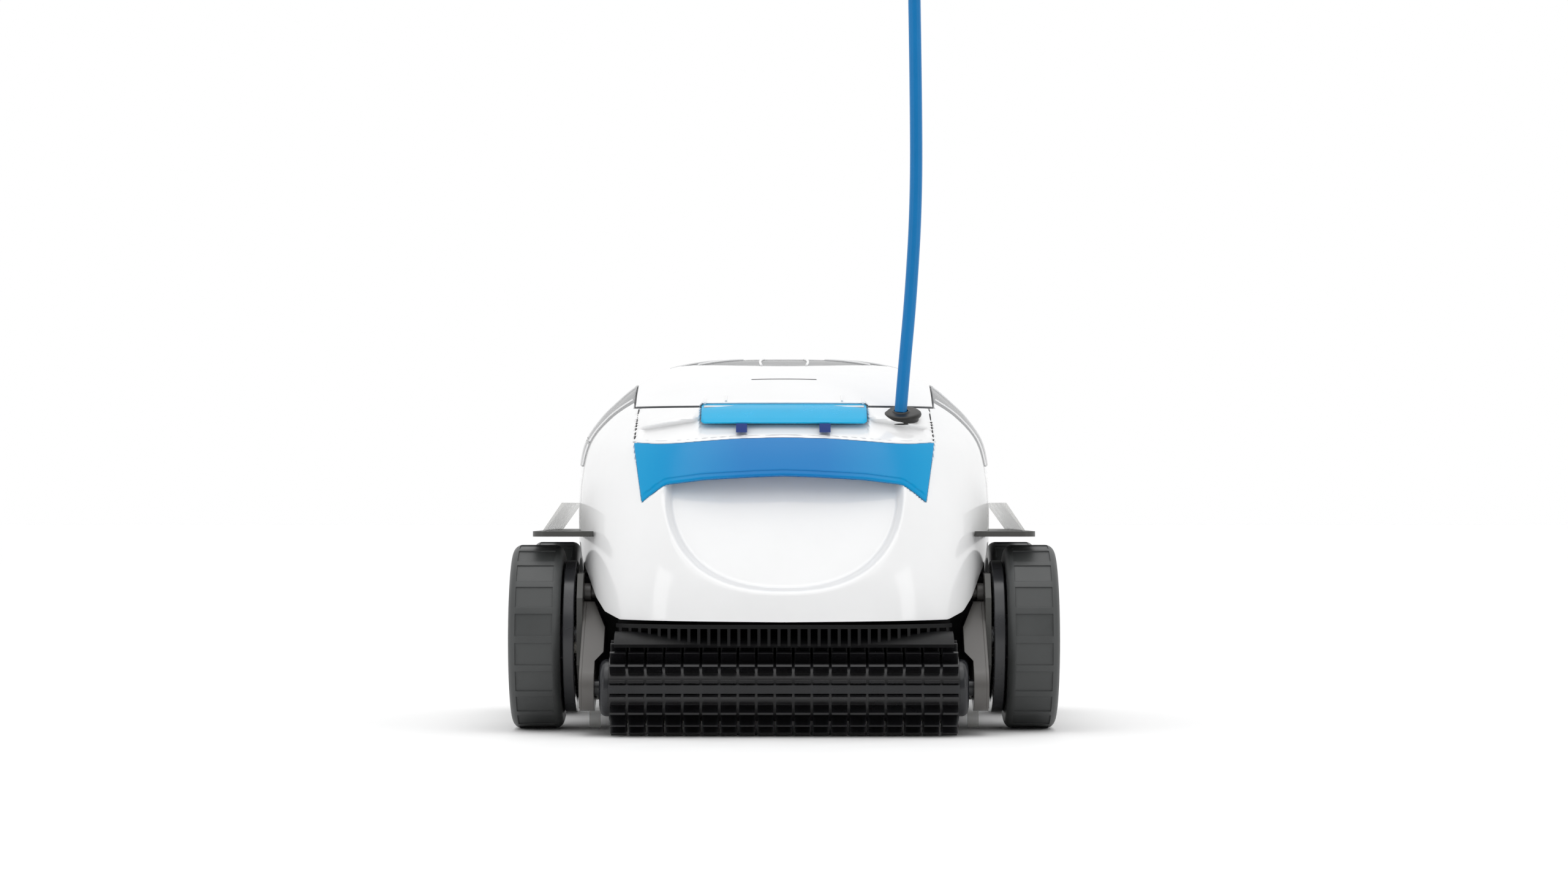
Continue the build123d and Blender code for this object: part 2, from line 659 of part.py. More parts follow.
def scoop_face(grow=0.0):
    """The grip opening from the front: a deep U, closed behind the band."""
    points = []
    for k in range(13):
        a = radians(180 + 15 * k)
        points.append(((SCOOP_X + grow) * abs(cos(a))**0.85 * (1 if cos(a) > 0 else -1),
                       SCOOP_Z - (SCOOP_DROP + grow) * abs(sin(a))**0.85))
    with BuildSketch(Plane.XZ.offset(60)) as face:
        with BuildLine():
            Spline(*points)
            Polyline(points[-1], (SCOOP_X + grow, 212 + grow), (-SCOOP_X - grow, 212 + grow), points[0])
        make_face()
    return face.sketch


LATCH_HALF, LATCH_LOW, LATCH_HIGH = 62.5, 230.4, 246.7
LATCH_Y, LATCH_Z = -92.5, 243.2

GLAND, GLAND_TILT, GLAND_R = (88.6, -94.5, 237.5), 24.0, 15.5
gland_plane = Plane(origin=GLAND, x_dir=(1, 0, 0),
                    z_dir=(0, -sin(radians(GLAND_TILT)), cos(radians(GLAND_TILT))))

# The lid's own room: outside it, the shell runs on up beside the lid's front corners.
with BuildPart() as lid_room:
    add(plan_prism(SEAM_Z, GAP / 2, 215, 290))
    with Locations((0, 0, 250)):
        Box(2 * (SHOULDER_X + GAP), 600, 100, mode=Mode.INTERSECT)

with BuildPart() as front_shell:
    add(thicken(skin((-72, 72), (79, 262)), amount=WALL))
    with BuildSketch(Plane.XZ.offset(-CHEEK_Y)):
        with BuildLine():
            outline([(x, z) for x, z in LOWER_EDGE[1:]] + [(170, 268)])
        make_face()
    extrude(amount=200, mode=Mode.INTERSECT)
    add(lid_room.part, mode=Mode.SUBTRACT)
    extrude(scoop_face(), amount=160, mode=Mode.SUBTRACT)
    extrude(band_face(), amount=160, mode=Mode.SUBTRACT)
    add(deck.part, mode=Mode.SUBTRACT)
    with Locations((0, -110, LATCH_LOW - 0.8 + 20)):
        Box(2 * LATCH_HALF + 2, 60, 40, mode=Mode.SUBTRACT)
    with Locations(gland_plane):
        Cylinder(GLAND_R, 40, mode=Mode.SUBTRACT)
save(front_shell.part, "front_shell")


def side_view(points, x=0.0):
    """A closed (y, z) polygon on a plane across X."""
    with BuildSketch(axle_plane(x, 0, 0)) as face:
        with BuildLine():
            Polyline(*points, close=True)
        make_face()
    return face.sketch


with BuildPart() as rear_shell:
    add(thicken(skin((112, 248), (79, 262)), amount=WALL))
    with BuildSketch(Plane.XZ.offset(-TAIL_Y)):
        with BuildLine():
            outline([(x, z) for x, z in LOWER_EDGE[1:]] + [(170, 268)])
        make_face()
    extrude(amount=-200, mode=Mode.INTERSECT)
    with Locations((0, LID_END_Y + GAP - 100, 300)):
        Box(2 * SHOULDER_X + 2 * GAP, 200, 200, mode=Mode.SUBTRACT)
    add(deck.part, mode=Mode.SUBTRACT)
    # The lid's knuckles lie in notches, between ears that stand on the shell's top edge.
    with Locations((-40, 145, 258), (40, 145, 258)):
        Box(12.8, 10, 20, mode=Mode.SUBTRACT)
    ear = side_view([(148, 248), (147.8, 262), (150, 266.5), (154, 266.5), (156.5, 262), (158, 248)])
    for x in (-52.5, -33.5, 27.5, 46.5):
        extrude(ear.moved(Location((x, 0, 0))), amount=6.0, dir=(1, 0, 0))
    with BuildSketch(axle_plane(-60, HINGE_Y, HINGE_Z)):
        Circle(2.0)
    extrude(amount=120, mode=Mode.SUBTRACT)
save(rear_shell.part, "rear_shell")


def side_panel(side):
    turns = sorted((side * 36, side * 144))
    with BuildPart() as panel:
        add(thicken(skin(turns, (140, 206)), amount=WALL))
        extrude(side_view([(CHEEK_Y + GAP, FENDER_TOP), (CHEEK_Y + GAP, 199), (TAIL_Y - GAP, 199),
                           (TAIL_Y - GAP, FENDER_TOP)]), amount=side * 200, dir=(1, 0, 0), mode=Mode.INTERSECT)
        add(deck.part, mode=Mode.SUBTRACT)
    return panel.part


def side_window(side):
    turns = sorted((side * 36, side * 144))
    with BuildPart() as window:
        add(thicken(skin(turns, (194, 270)), amount=WALL))
        extrude(side_view([(CHEEK_Y + GAP, DECK_TOP), (CHEEK_Y + GAP, 280), (TAIL_Y - GAP, 280),
                           (TAIL_Y - GAP, DECK_TOP)]).moved(Location((side * (SHOULDER_X + GAP), 0, 0))),
                amount=side * 100, dir=(1, 0, 0), mode=Mode.INTERSECT)
    return window.part


save_pair(side_panel, "side_panels")
save_pair(side_window, "side_windows")


# ---------------------------------------------------------------- grip: band and pocket
POCKET_BACK = [(-199, 100), (POCKET_DEEP, 200), (POCKET_DEEP, 215)]


def behind(points, extra, front=-206.0):
    """The (y, z) region in front of a line, moved back by extra."""
    return side_view([(front, points[0][1])] + [(y + extra, z) for y, z in points]
                     + [(front + 35, points[-1][1])])


with BuildPart() as band:
    add(thicken(skin((-50, 50), (162, 228), inset=-1.5), amount=5.0))
    extrude(band_face(), amount=160, mode=Mode.INTERSECT)
save(band.part, "handle_band")

with BuildPart() as hollow:
    extrude(scoop_face(), amount=180)
    extrude(behind(POCKET_BACK, 0.0, front=-250).moved(Location((-100, 0, 0))), amount=200, dir=(1, 0, 0),
            mode=Mode.INTERSECT)

with BuildPart() as pocket:
    extrude(scoop_face(WALL), amount=160)
    extrude(behind(POCKET_BACK, WALL).moved(Location((-100, 0, 0))), amount=200, dir=(1, 0, 0),
            mode=Mode.INTERSECT)
    add(hollow.part, mode=Mode.SUBTRACT)
    add(thicken(skin((-52, 52), (85, 238), inset=5.4), amount=-45), mode=Mode.SUBTRACT)
save(pocket.part, "grip_pocket")


# ---------------------------------------------------------------- lid
def outlet_ellipse(across, along):
    """An ellipse round the pump outlet, below the lid."""
    with BuildSketch(Plane.XY.offset(240)) as ring:
        with Locations((0, OUTLET_Y)):
            Ellipse(across, along)
    return ring.sketch


def roof(half, start, end, drop=0.0):
    """A spline face over part of the envelope's top, from one y to another."""
    columns, rows = 24, 26
    return Face.make_surface_from_array_of_points(
        [[(x, y, top_height(x, y) - drop)
          for x in (half * (2 * i / columns - 1) for i in range(columns + 1))]
         for y in (start + (end - start) * j / rows for j in range(rows + 1))])


crown = thicken(roof(118, -99, 150), amount=WALL)

with BuildPart() as lid:
    add(crown)
    with BuildSketch(Plane.XY.offset(200)):
        with Locations((0, 20)):
            Rectangle(2 * SHOULDER_X - GAP, 2 * (LID_END_Y - 20))
    extrude(amount=100, mode=Mode.INTERSECT)
    add(plan_prism(SEAM_Z, 1.0, 200, 300), mode=Mode.INTERSECT)
    extrude(outlet_ellipse(*OUTLET_OUTER), amount=60, mode=Mode.SUBTRACT)
    with Locations((0, -110, 245)):
        Box(2 * LATCH_HALF + 2, 43.4, 30, mode=Mode.SUBTRACT)
    knuckle = side_view([(132, 263), (143, 261), (149, 266), (153, 266.5), (156, 264), (156.5, 261),
                         (154, 258), (150, 257.5), (146, 255), (132, 259)])
    for x in (-46.0, 34.0):
        extrude(knuckle.moved(Location((x, 0, 0))), amount=12.0, dir=(1, 0, 0))
    with BuildSketch(axle_plane(-60, HINGE_Y, HINGE_Z)):
        Circle(2.0 + RUNNING)
    extrude(amount=120, mode=Mode.SUBTRACT)
    with Locations(gland_plane):
        Cylinder(GLAND_R + 0.5, 40, mode=Mode.SUBTRACT)
    lug = side_view([(-94, 240.6), (-95, 244.5), (-91, 246), (-82, 248.8), (-79, 250.3), (-79, 246.0),
                     (-90, 240.6)])
    for x in (44.5, 55.5, -48.5, -59.5):
        extrude(lug.moved(Location((x, 0, 0))), amount=4.0, dir=(1, 0, 0))
    with BuildSketch(axle_plane(-62, LATCH_Y, LATCH_Z)):
        Circle(1.5)
    extrude(amount=124, mode=Mode.SUBTRACT)
save(lid.part, "lid")

with BuildPart() as outlet_window:
    add(crown)
    extrude(outlet_ellipse(*OUTLET_OUTER) - outlet_ellipse(*OUTLET_INNER), amount=60, mode=Mode.INTERSECT)
save(outlet_window.part, "outlet_window")

GRILLE_SLOTS = 14
with BuildPart() as outlet_grille:
    add(crown)
    extrude(outlet_ellipse(*OUTLET_INNER), amount=60, mode=Mode.INTERSECT)
    with BuildSketch(Plane.XY.offset(240)):
        with Locations((0, OUTLET_Y)):
            with PolarLocations(22.0, GRILLE_SLOTS):
                SlotOverall(24.0, 5.0)
    extrude(amount=60, mode=Mode.SUBTRACT)
save(outlet_grille.part, "outlet_grille")

with BuildPart() as latch:
    add(thicken(skin((-36, 36), (222, 254), inset=-1.2), amount=6.0))
    with BuildSketch(Plane.XZ.offset(60)):
        with Locations((0, (LATCH_LOW + LATCH_HIGH) / 2)):
            RectangleRounded(2 * LATCH_HALF, LATCH_HIGH - LATCH_LOW, 5.0)
    extrude(amount=80, mode=Mode.INTERSECT)
    with Locations((0, -70.4, 240)):
        Box(200, 40, 60, mode=Mode.SUBTRACT)
    for x in (46.5, 57.5, -46.5, -57.5):
        with Locations((x, -86.2, 246.0)):
            Box(4.8, 20, 13.0, mode=Mode.SUBTRACT)
    with BuildSketch(axle_plane(-62, LATCH_Y, LATCH_Z)):
        Circle(1.5 + RUNNING)
    extrude(amount=124, mode=Mode.SUBTRACT)
save(latch.part, "lid_latch")

with BuildPart() as hooks:
    add(thicken(skin((-20, 20), (218, 236), inset=-3.0), amount=1.8))
    with BuildSketch(Plane.XZ.offset(60)):
        for x in (-31.8, 30.7):
            with Locations((x, (LATCH_LOW + 223.6) / 2)):
                Rectangle(8.3, LATCH_LOW - 223.6)
    extrude(amount=100, mode=Mode.INTERSECT)
save(hooks.part, "latch_hooks")

with BuildPart() as latch_pin:
    with BuildSketch(axle_plane(-60.5, LATCH_Y, LATCH_Z)):
        Circle(1.5)
    extrude(amount=121.0)
save(latch_pin.part, "latch_pin")

with BuildPart() as hinge_pins:
    for x in (-52.5, 27.5):
        with BuildSketch(axle_plane(x, HINGE_Y, HINGE_Z)):
            Circle(2.0)
        extrude(amount=25.0)
save(hinge_pins.part, "hinge_pins")


# ---------------------------------------------------------------- pump
with BuildPart() as duct:
    with BuildSketch(Plane.XY.offset(DECK_TOP)):
        with Locations((0, OUTLET_Y)):
            Circle(DUCT_R)
            Circle(DUCT_R - WALL, mode=Mode.SUBTRACT)
    extrude(amount=72.0)
save(duct.part, "outlet_duct")

PUMP_TOP, PROPELLER_LOW = 165.0, 214.0
with BuildPart() as pump_motor:
    for low, high, r in ((TRAY_Z + WALL, 31.0, 34.0), (31.0, 150.0, 26.0), (150.0, PUMP_TOP, 14.0)):
        with BuildSketch(Plane.XY.offset(low)):
            with Locations((0, OUTLET_Y)):
                Circle(r)
        extrude(amount=high - low)
    with Locations((0, OUTLET_Y, PUMP_TOP)):
        Hole(3.0 + RUNNING, depth=25.0)
save(pump_motor.part, "pump_motor")

with BuildPart() as propeller:
    with BuildSketch(Plane.XY.offset(PUMP_TOP - 20.0)):
        with Locations((0, OUTLET_Y)):
            Circle(3.0)
    extrude(amount=PROPELLER_LOW + 26.0 - PUMP_TOP + 20.0 - 4.0)
    with BuildSketch(Plane.XY.offset(PROPELLER_LOW)):
        with Locations((0, OUTLET_Y)):
            Circle(9.0)
    extrude(amount=26.0)
    for turn in (0, 120, 240):
        blade = Plane(origin=(0, OUTLET_Y, PROPELLER_LOW + 13.0),
                      x_dir=(cos(radians(turn)), sin(radians(turn)), 0), z_dir=(0, 0, 1)).rotated((35, 0, 0))
        with Locations(blade):
            with Locations((21.5, 0, 0)):
                Box(28.0, 26.0, 2.0)
    fillet(propeller.edges().filter_by(GeomType.CIRCLE).group_by(Axis.Z)[-1], 3.0)
save(propeller.part, "propeller")


# ---------------------------------------------------------------- filter basket and intake
def mesh_windows(width, height, columns, rows, bar):
    """Openings of a barred panel, as a grid of rectangles round the sketch's middle."""
    cell_w, cell_h = (width - bar * (columns - 1)) / columns, (height - bar * (rows - 1)) / rows
    with GridLocations(cell_w + bar, cell_h + bar, columns, rows):
        Rectangle(cell_w, cell_h)


BASKET_TOP = DECK_TOP + 2.5
SHAFT_TOP = 88.0         # top of the intake shaft
with BuildPart() as basket:
    with BuildSketch(Plane.XY.offset(BASKET_LOW)):
        with Locations((0, BASKET_Y)):
            RectangleRounded(2 * BASKET_X, BASKET_LENGTH, 6.0)
    extrude(amount=DECK_TOP - BASKET_LOW)
    with BuildSketch(Plane.XY.offset(DECK_TOP)):
        with Locations((0, BASKET_Y)):
            RectangleRounded(2 * BASKET_X + 8.0, BASKET_LENGTH + 8.0, 8.0)
    extrude(amount=BASKET_TOP - DECK_TOP)
    with BuildSketch(Plane.XY.offset(BASKET_LOW + 2.5)):
        with Locations((0, BASKET_Y)):
            RectangleRounded(2 * BASKET_X - 5.0, BASKET_LENGTH - 5.0, 4.0)
    extrude(amount=120, mode=Mode.SUBTRACT)
    with BuildSketch(Plane.XZ.offset(150)):
        with Locations((0, 145)):
            mesh_windows(180, 80, 4, 1, 8)
    extrude(amount=-300, mode=Mode.SUBTRACT)
    with BuildSketch(axle_plane(-150, BASKET_Y, 145)):
        mesh_windows(104, 80, 2, 1, 8)
    extrude(amount=300, mode=Mode.SUBTRACT)
    with BuildSketch(Plane.XY.offset(BASKET_LOW)):
        with Locations((0, MOUTH[2])):
            Rectangle(176.0, 18.0)
    extrude(amount=5.0, mode=Mode.SUBTRACT)
save(basket.part, "filter_basket")

with BuildPart() as mesh:
    for y in (BASKET_FRONT + 2.5, BASKET_REAR - 2.5):
        with BuildSketch(Plane.XZ.offset(-y)):
            with Locations((0, 145)):
                Rectangle(188, 86)
        extrude(amount=-0.8 if y < 0 else 0.8)
    for side in (-1, 1):
        with BuildSketch(axle_plane(side * (BASKET_X - 2.5), BASKET_Y, 145)):
            Rectangle(110, 86)
        extrude(amount=-side * 0.8)
save(mesh.part, "filter_mesh")

with BuildPart() as basket_handle:
    with BuildSketch(axle_plane(-5, BASKET_Y, 0)):
        with BuildLine():
            Polyline((-BASKET_LENGTH / 2 + 2.5, 199), (-BASKET_LENGTH / 2 + 2.5, 192),
                     (-50, 192), (-40, 206), (40, 206), (50, 192), (BASKET_LENGTH / 2 - 2.5, 192),
                     (BASKET_LENGTH / 2 - 2.5, 199), (46, 199), (38, 212), (-38, 212), (-46, 199), close=True)
        make_face()
    extrude(amount=10.0)
save(basket_handle.part, "basket_handle")

with BuildPart() as intake_shaft:
    with BuildSketch(Plane.XY.offset(TRAY_Z + WALL)):
        with Locations((0, MOUTH[2])):
            Rectangle(MOUTH[0] + 4.0, MOUTH[1] + 4.0)
            Rectangle(MOUTH[0], MOUTH[1], mode=Mode.SUBTRACT)
    extrude(amount=BASKET_LOW - TRAY_Z - WALL)
save(intake_shaft.part, "intake_shaft")

FLAP_Y, FLAP_Z = -81.5, BASKET_LOW + 5.0
with BuildPart() as intake_flap:
    extrude(side_view([(-105, FLAP_Z - 2.0), (-105, FLAP_Z), (FLAP_Y, FLAP_Z + 2.0), (FLAP_Y + 2.0, FLAP_Z),
                       (FLAP_Y, FLAP_Z - 2.0)], x=-90.0), amount=180, dir=(1, 0, 0))
save(intake_flap.part, "intake_flap")

with BuildPart() as cradles:
    for side in (-1, 1):
        with BuildSketch(axle_plane(side * 50.0, 0, 0)):
            with Locations((motor_at[0], (TRAY_Z + WALL + motor_at[1]) / 2)):
                Rectangle(30.0, motor_at[1] - TRAY_Z - WALL)
            with Locations(motor_at):
                Circle(18.0, mode=Mode.SUBTRACT)
        extrude(amount=side * 40.0)
save(cradles.part, "motor_cradles")


# ---------------------------------------------------------------- cable
CABLE_R = 4.75
CABLE_EXIT = (GLAND[0], GLAND[1], 243.0)
CABLE_ROUTE = [CABLE_EXIT, (91.2, -94.5, 275.0), (96.0, -94.5, 326.0), (100.3, -94.5, 398.0),
               (100.2, -94.5, 478.0), (98.9, -94.5, 557.0)]

runs = [Vector(*b) - Vector(*a) for a, b in zip(CABLE_ROUTE, CABLE_ROUTE[1:])]
bends = [0.45 * min(a.length, b.length) / tan(radians(a.get_angle(b) / 2)) for a, b in zip(runs, runs[1:])]
print("cable bends", [round(r) for r in bends])

with BuildPart() as gland:
    with BuildSketch(gland_plane.offset(-4.0)):
        Circle(GLAND_R)
    extrude(amount=6.5)
    fillet(gland.edges().filter_by(GeomType.CIRCLE).group_by(Axis.Z)[-1], 1.2)
    with BuildSketch(Plane(origin=CABLE_EXIT, z_dir=runs[0])):
        Circle(7.0)
    extrude(amount=-8.0)
save(gland.part, "cable_gland")

with BuildPart() as cable:
    with BuildLine() as line:
        FilletPolyline(*CABLE_ROUTE, radius=bends)
    with BuildSketch(Plane(origin=CABLE_ROUTE[0], z_dir=runs[0])):
        Circle(CABLE_R)
    sweep()
length = sum(edge.length for edge in line.edges())
print("cable length", round(length, 1), "volume ratio", round(cable.part.volume / (pi * CABLE_R**2 * length), 4))
save(cable.part, "cable")

end = Plane(origin=CABLE_ROUTE[-1], z_dir=runs[-1])
with BuildPart() as swivel:
    for low, high, r in ((0.0, 6.0, 7.0), (6.0, 30.0, 10.0), (30.0, 34.0, 7.0)):
        with BuildSketch(end.offset(low)):
            Circle(r)
        extrude(amount=high - low)
    with BuildSketch(Plane(origin=end.offset(45.0).origin, x_dir=(1, 0, 0), z_dir=(0, -1, 0)).offset(-3.0)):
        Circle(13.0)
        Circle(8.0, mode=Mode.SUBTRACT)
    extrude(amount=6.0)
save(swivel.part, "cable_swivel")
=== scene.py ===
"""The looks of a corded pool-cleaning robot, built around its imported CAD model.

Blender units are metres. The shells' own numbers below are in millimetres, as in the model,
and mesh_piece() turns them into metres. "left" means -X, and the cleaner faces -Y.
"""
import json
from math import cos, pi, radians, sin, tau

import bpy
import numpy as np
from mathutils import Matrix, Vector


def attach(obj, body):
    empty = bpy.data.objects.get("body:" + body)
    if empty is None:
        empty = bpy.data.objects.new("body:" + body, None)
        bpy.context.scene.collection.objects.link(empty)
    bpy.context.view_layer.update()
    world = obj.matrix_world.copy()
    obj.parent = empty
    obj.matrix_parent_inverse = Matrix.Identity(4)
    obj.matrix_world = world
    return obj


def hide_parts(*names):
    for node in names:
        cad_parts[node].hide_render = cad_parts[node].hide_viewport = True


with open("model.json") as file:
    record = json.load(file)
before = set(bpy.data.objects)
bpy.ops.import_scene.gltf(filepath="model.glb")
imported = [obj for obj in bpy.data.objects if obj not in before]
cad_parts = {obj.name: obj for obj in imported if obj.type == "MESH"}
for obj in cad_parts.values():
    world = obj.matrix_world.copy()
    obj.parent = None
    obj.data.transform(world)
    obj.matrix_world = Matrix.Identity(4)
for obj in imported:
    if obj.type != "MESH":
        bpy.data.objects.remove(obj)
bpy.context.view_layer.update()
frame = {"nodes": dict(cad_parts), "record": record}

MM = 0.001
WHITE = (0.86, 0.862, 0.865)
BAND_MIDDLE, BAND_ENDS = (0.0, 0.185, 0.50), (0.0, 0.30, 0.60)

# ---------------------------------------------------------------- camera, light, floor
CAMERA_AT = (0.0, -2.885, 0.169)
CAMERA_TILT = 91.0      # degrees about X, so it looks up by one degree
CAMERA_LENS = 84.6

camera = bpy.data.objects.new("camera", bpy.data.cameras.new("camera"))
camera.location = CAMERA_AT
camera.rotation_euler = (radians(CAMERA_TILT), 0, 0)
camera.data.lens = CAMERA_LENS
camera.data.sensor_width = 36.0
bpy.context.collection.objects.link(camera)
bpy.context.scene.camera = camera
bpy.context.scene.view_settings.view_transform = "Standard"


def soft_light(name, at, towards, size, watts):
    """A rectangular lamp that faces a point."""
    light = bpy.data.lights.new(name, "AREA")
    light.shape = "RECTANGLE"
    light.size, light.size_y = size
    light.energy = watts
    lamp = bpy.data.objects.new(name, light)
    lamp.location = at
    lamp.rotation_euler = (Vector(towards) - Vector(at)).to_track_quat("-Z", "Y").to_euler()
    bpy.context.collection.objects.link(lamp)


BODY_MIDDLE = (0.0, 0.0, 0.14)
soft_light("left_box", (-1.9, -1.5, 0.8), BODY_MIDDLE, (0.6, 1.8), 5.0)
soft_light("right_box", (1.9, -1.5, 0.8), BODY_MIDDLE, (0.6, 1.8), 5.0)
soft_light("top_box", (0.0, 0.2, 2.4), BODY_MIDDLE, (1.8, 1.8), 6.0)

sun = bpy.data.objects.new("overhead", bpy.data.lights.new("overhead", "SUN"))
sun.data.energy = 0.9
sun.data.angle = radians(60)
sun.rotation_euler = (radians(24), 0, 0)
bpy.context.collection.objects.link(sun)


def studio_world():
    """A pale room, a little darker behind the camera, so that glossy faces have something to show."""
    world = bpy.data.worlds.new("studio")
    bpy.context.scene.world = world
    world.use_nodes = True
    nodes, links = world.node_tree.nodes, world.node_tree.links
    where = nodes.new("ShaderNodeTexCoord")
    split = nodes.new("ShaderNodeSeparateXYZ")
    span = nodes.new("ShaderNodeMapRange")
    span.inputs["From Min"].default_value = -0.6
    span.inputs["From Max"].default_value = 0.1
    span.inputs["To Min"].default_value = 0.42
    span.inputs["To Max"].default_value = 1.0
    span.interpolation_type = "SMOOTHSTEP"
    links.new(where.outputs["Generated"], split.inputs[0])
    links.new(split.outputs["Y"], span.inputs["Value"])
    links.new(span.outputs[0], nodes["Background"].inputs["Strength"])
    nodes["Background"].inputs["Color"].default_value = (1.0, 1.0, 1.0, 1.0)


studio_world()


# ---------------------------------------------------------------- materials
def shader(name):
    """A new material with its Principled shader, and its node and link lists."""
    made = bpy.data.materials.new(name)
    made.use_nodes = True
    nodes, links = made.node_tree.nodes, made.node_tree.links
    return made, nodes["Principled BSDF"], nodes, links


def noise(nodes, links, scale, detail=3.0, squeeze=(1.0, 1.0, 1.0), rough=0.55):
    """Noise laid over the object's own coordinates, which are metres in the model's frame."""
    where = nodes.new("ShaderNodeTexCoord")
    mapping = nodes.new("ShaderNodeMapping")
    mapping.inputs["Scale"].default_value = squeeze
    texture = nodes.new("ShaderNodeTexNoise")
    texture.inputs["Scale"].default_value = scale
    texture.inputs["Detail"].default_value = detail
    texture.inputs["Roughness"].default_value = rough
    links.new(where.outputs["Object"], mapping.inputs["Vector"])
    links.new(mapping.outputs[0], texture.inputs["Vector"])
    return texture.outputs["Fac"]


def ramp(nodes, links, source, low, high, start=0.3, end=0.7):
    """A colour ramp from low to high over start..end of the source."""
    made = nodes.new("ShaderNodeValToRGB")
    first, last = made.color_ramp.elements
    first.position, last.position = start, end
    first.color, last.color = (*low, 1.0), (*high, 1.0)
    links.new(source, made.inputs["Fac"])
    return made.outputs["Color"]


def spread(nodes, links, source, low, high):
    """The source, taken from 0.3..0.7 to low..high."""
    made = nodes.new("ShaderNodeMapRange")
    made.inputs["From Min"].default_value = 0.3
    made.inputs["From Max"].default_value = 0.7
    made.inputs["To Min"].default_value = low
    made.inputs["To Max"].default_value = high
    links.new(source, made.inputs["Value"])
    return made.outputs[0]


def bumps(nodes, links, source, strength, depth, after=None):
    """A normal bent by the source, on top of another normal if one is given."""
    made = nodes.new("ShaderNodeBump")
    made.inputs["Strength"].default_value = strength
    made.inputs["Distance"].default_value = depth
    links.new(source, made.inputs["Height"])
    if after is not None:
        links.new(after, made.inputs["Normal"])
    return made.outputs["Normal"]


def shaded(colour, factor):
    """A colour made darker or lighter."""
    return tuple(min(1.0, c * factor) for c in colour)


def moulded(name, colour, rough=(0.2, 0.3), vary=0.05, grain=2200.0, texture=0.05, coat=0.0,
            patches=26.0, see=0.0, shine=0.5, soft_edge=0.0):
    """Moulded plastic or rubber: patchy tone, uneven gloss and a fine surface grain.

    see is how much light passes straight through, shine the specular level, and soft_edge the
    radius in metres over which corners catch the light.
    """
    made, skin, nodes, links = shader(name)
    broad = noise(nodes, links, patches, detail=4.0)
    fine = noise(nodes, links, grain, detail=2.0)
    links.new(ramp(nodes, links, broad, shaded(colour, 1 - vary), shaded(colour, 1 + vary)),
              skin.inputs["Base Color"])
    links.new(spread(nodes, links, broad, *rough), skin.inputs["Roughness"])
    corners = None
    if soft_edge:
        rounding = nodes.new("ShaderNodeBevel")
        rounding.samples = 4
        rounding.inputs["Radius"].default_value = soft_edge
        corners = rounding.outputs["Normal"]
    links.new(bumps(nodes, links, fine, texture, 0.0002, corners), skin.inputs["Normal"])
    skin.inputs["Coat Weight"].default_value = coat
    skin.inputs["Coat Roughness"].default_value = 0.08
    skin.inputs["Alpha"].default_value = 1.0 - see
    skin.inputs["Specular IOR Level"].default_value = shine
    return made


def brushed(name, colour, rough=(0.25, 0.42)):
    """Turned or brushed steel: fine streaks along X."""
    made, skin, nodes, links = shader(name)
    streaks = noise(nodes, links, 900.0, detail=5.0, squeeze=(0.04, 1.0, 1.0))
    links.new(ramp(nodes, links, streaks, shaded(colour, 0.85), shaded(colour, 1.1)),
              skin.inputs["Base Color"])
    links.new(spread(nodes, links, streaks, *rough), skin.inputs["Roughness"])
    links.new(bumps(nodes, links, streaks, 0.15, 0.0001), skin.inputs["Normal"])
    skin.inputs["Metallic"].default_value = 1.0
    return made


def band_material():
    """Glossy blue whose ends are lighter than its middle."""
    made, skin, nodes, links = shader("band_blue")
    where = nodes.new("ShaderNodeTexCoord")
    split = nodes.new("ShaderNodeSeparateXYZ")
    aside = nodes.new("ShaderNodeMath")
    aside.operation = "ABSOLUTE"
    links.new(where.outputs["Object"], split.inputs[0])
    links.new(split.outputs["X"], aside.inputs[0])
    links.new(ramp(nodes, links, aside.outputs[0], BAND_MIDDLE, BAND_ENDS, 0.03, 0.105),
              skin.inputs["Base Color"])
    broad = noise(nodes, links, 30.0)
    links.new(spread(nodes, links, broad, 0.16, 0.24), skin.inputs["Roughness"])
    links.new(bumps(nodes, links, noise(nodes, links, 1800.0), 0.03, 0.0002), skin.inputs["Normal"])
    skin.inputs["Specular IOR Level"].default_value = 0.25
    return made


def net_material():
    """Fine woven filter net: crossed threads with open holes."""
    made, skin, nodes, links = shader("filter_net")
    where = nodes.new("ShaderNodeTexCoord")
    threads = None
    for direction in ("X", "Y", "Z"):
        wave = nodes.new("ShaderNodeTexWave")
        wave.bands_direction = direction
        wave.inputs["Scale"].default_value = 260.0
        links.new(where.outputs["Object"], wave.inputs["Vector"])
        if threads is None:
            threads = wave.outputs["Fac"]
            continue
        both = nodes.new("ShaderNodeMath")
        both.operation = "MAXIMUM"
        links.new(threads, both.inputs[0])
        links.new(wave.outputs["Fac"], both.inputs[1])
        threads = both.outputs[0]
    links.new(ramp(nodes, links, threads, (0.5, 0.52, 0.54), (0.85, 0.87, 0.88), 0.2, 0.8),
              skin.inputs["Base Color"])
    links.new(bumps(nodes, links, threads, 0.4, 0.0003), skin.inputs["Normal"])
    skin.inputs["Roughness"].default_value = 0.7
    return made


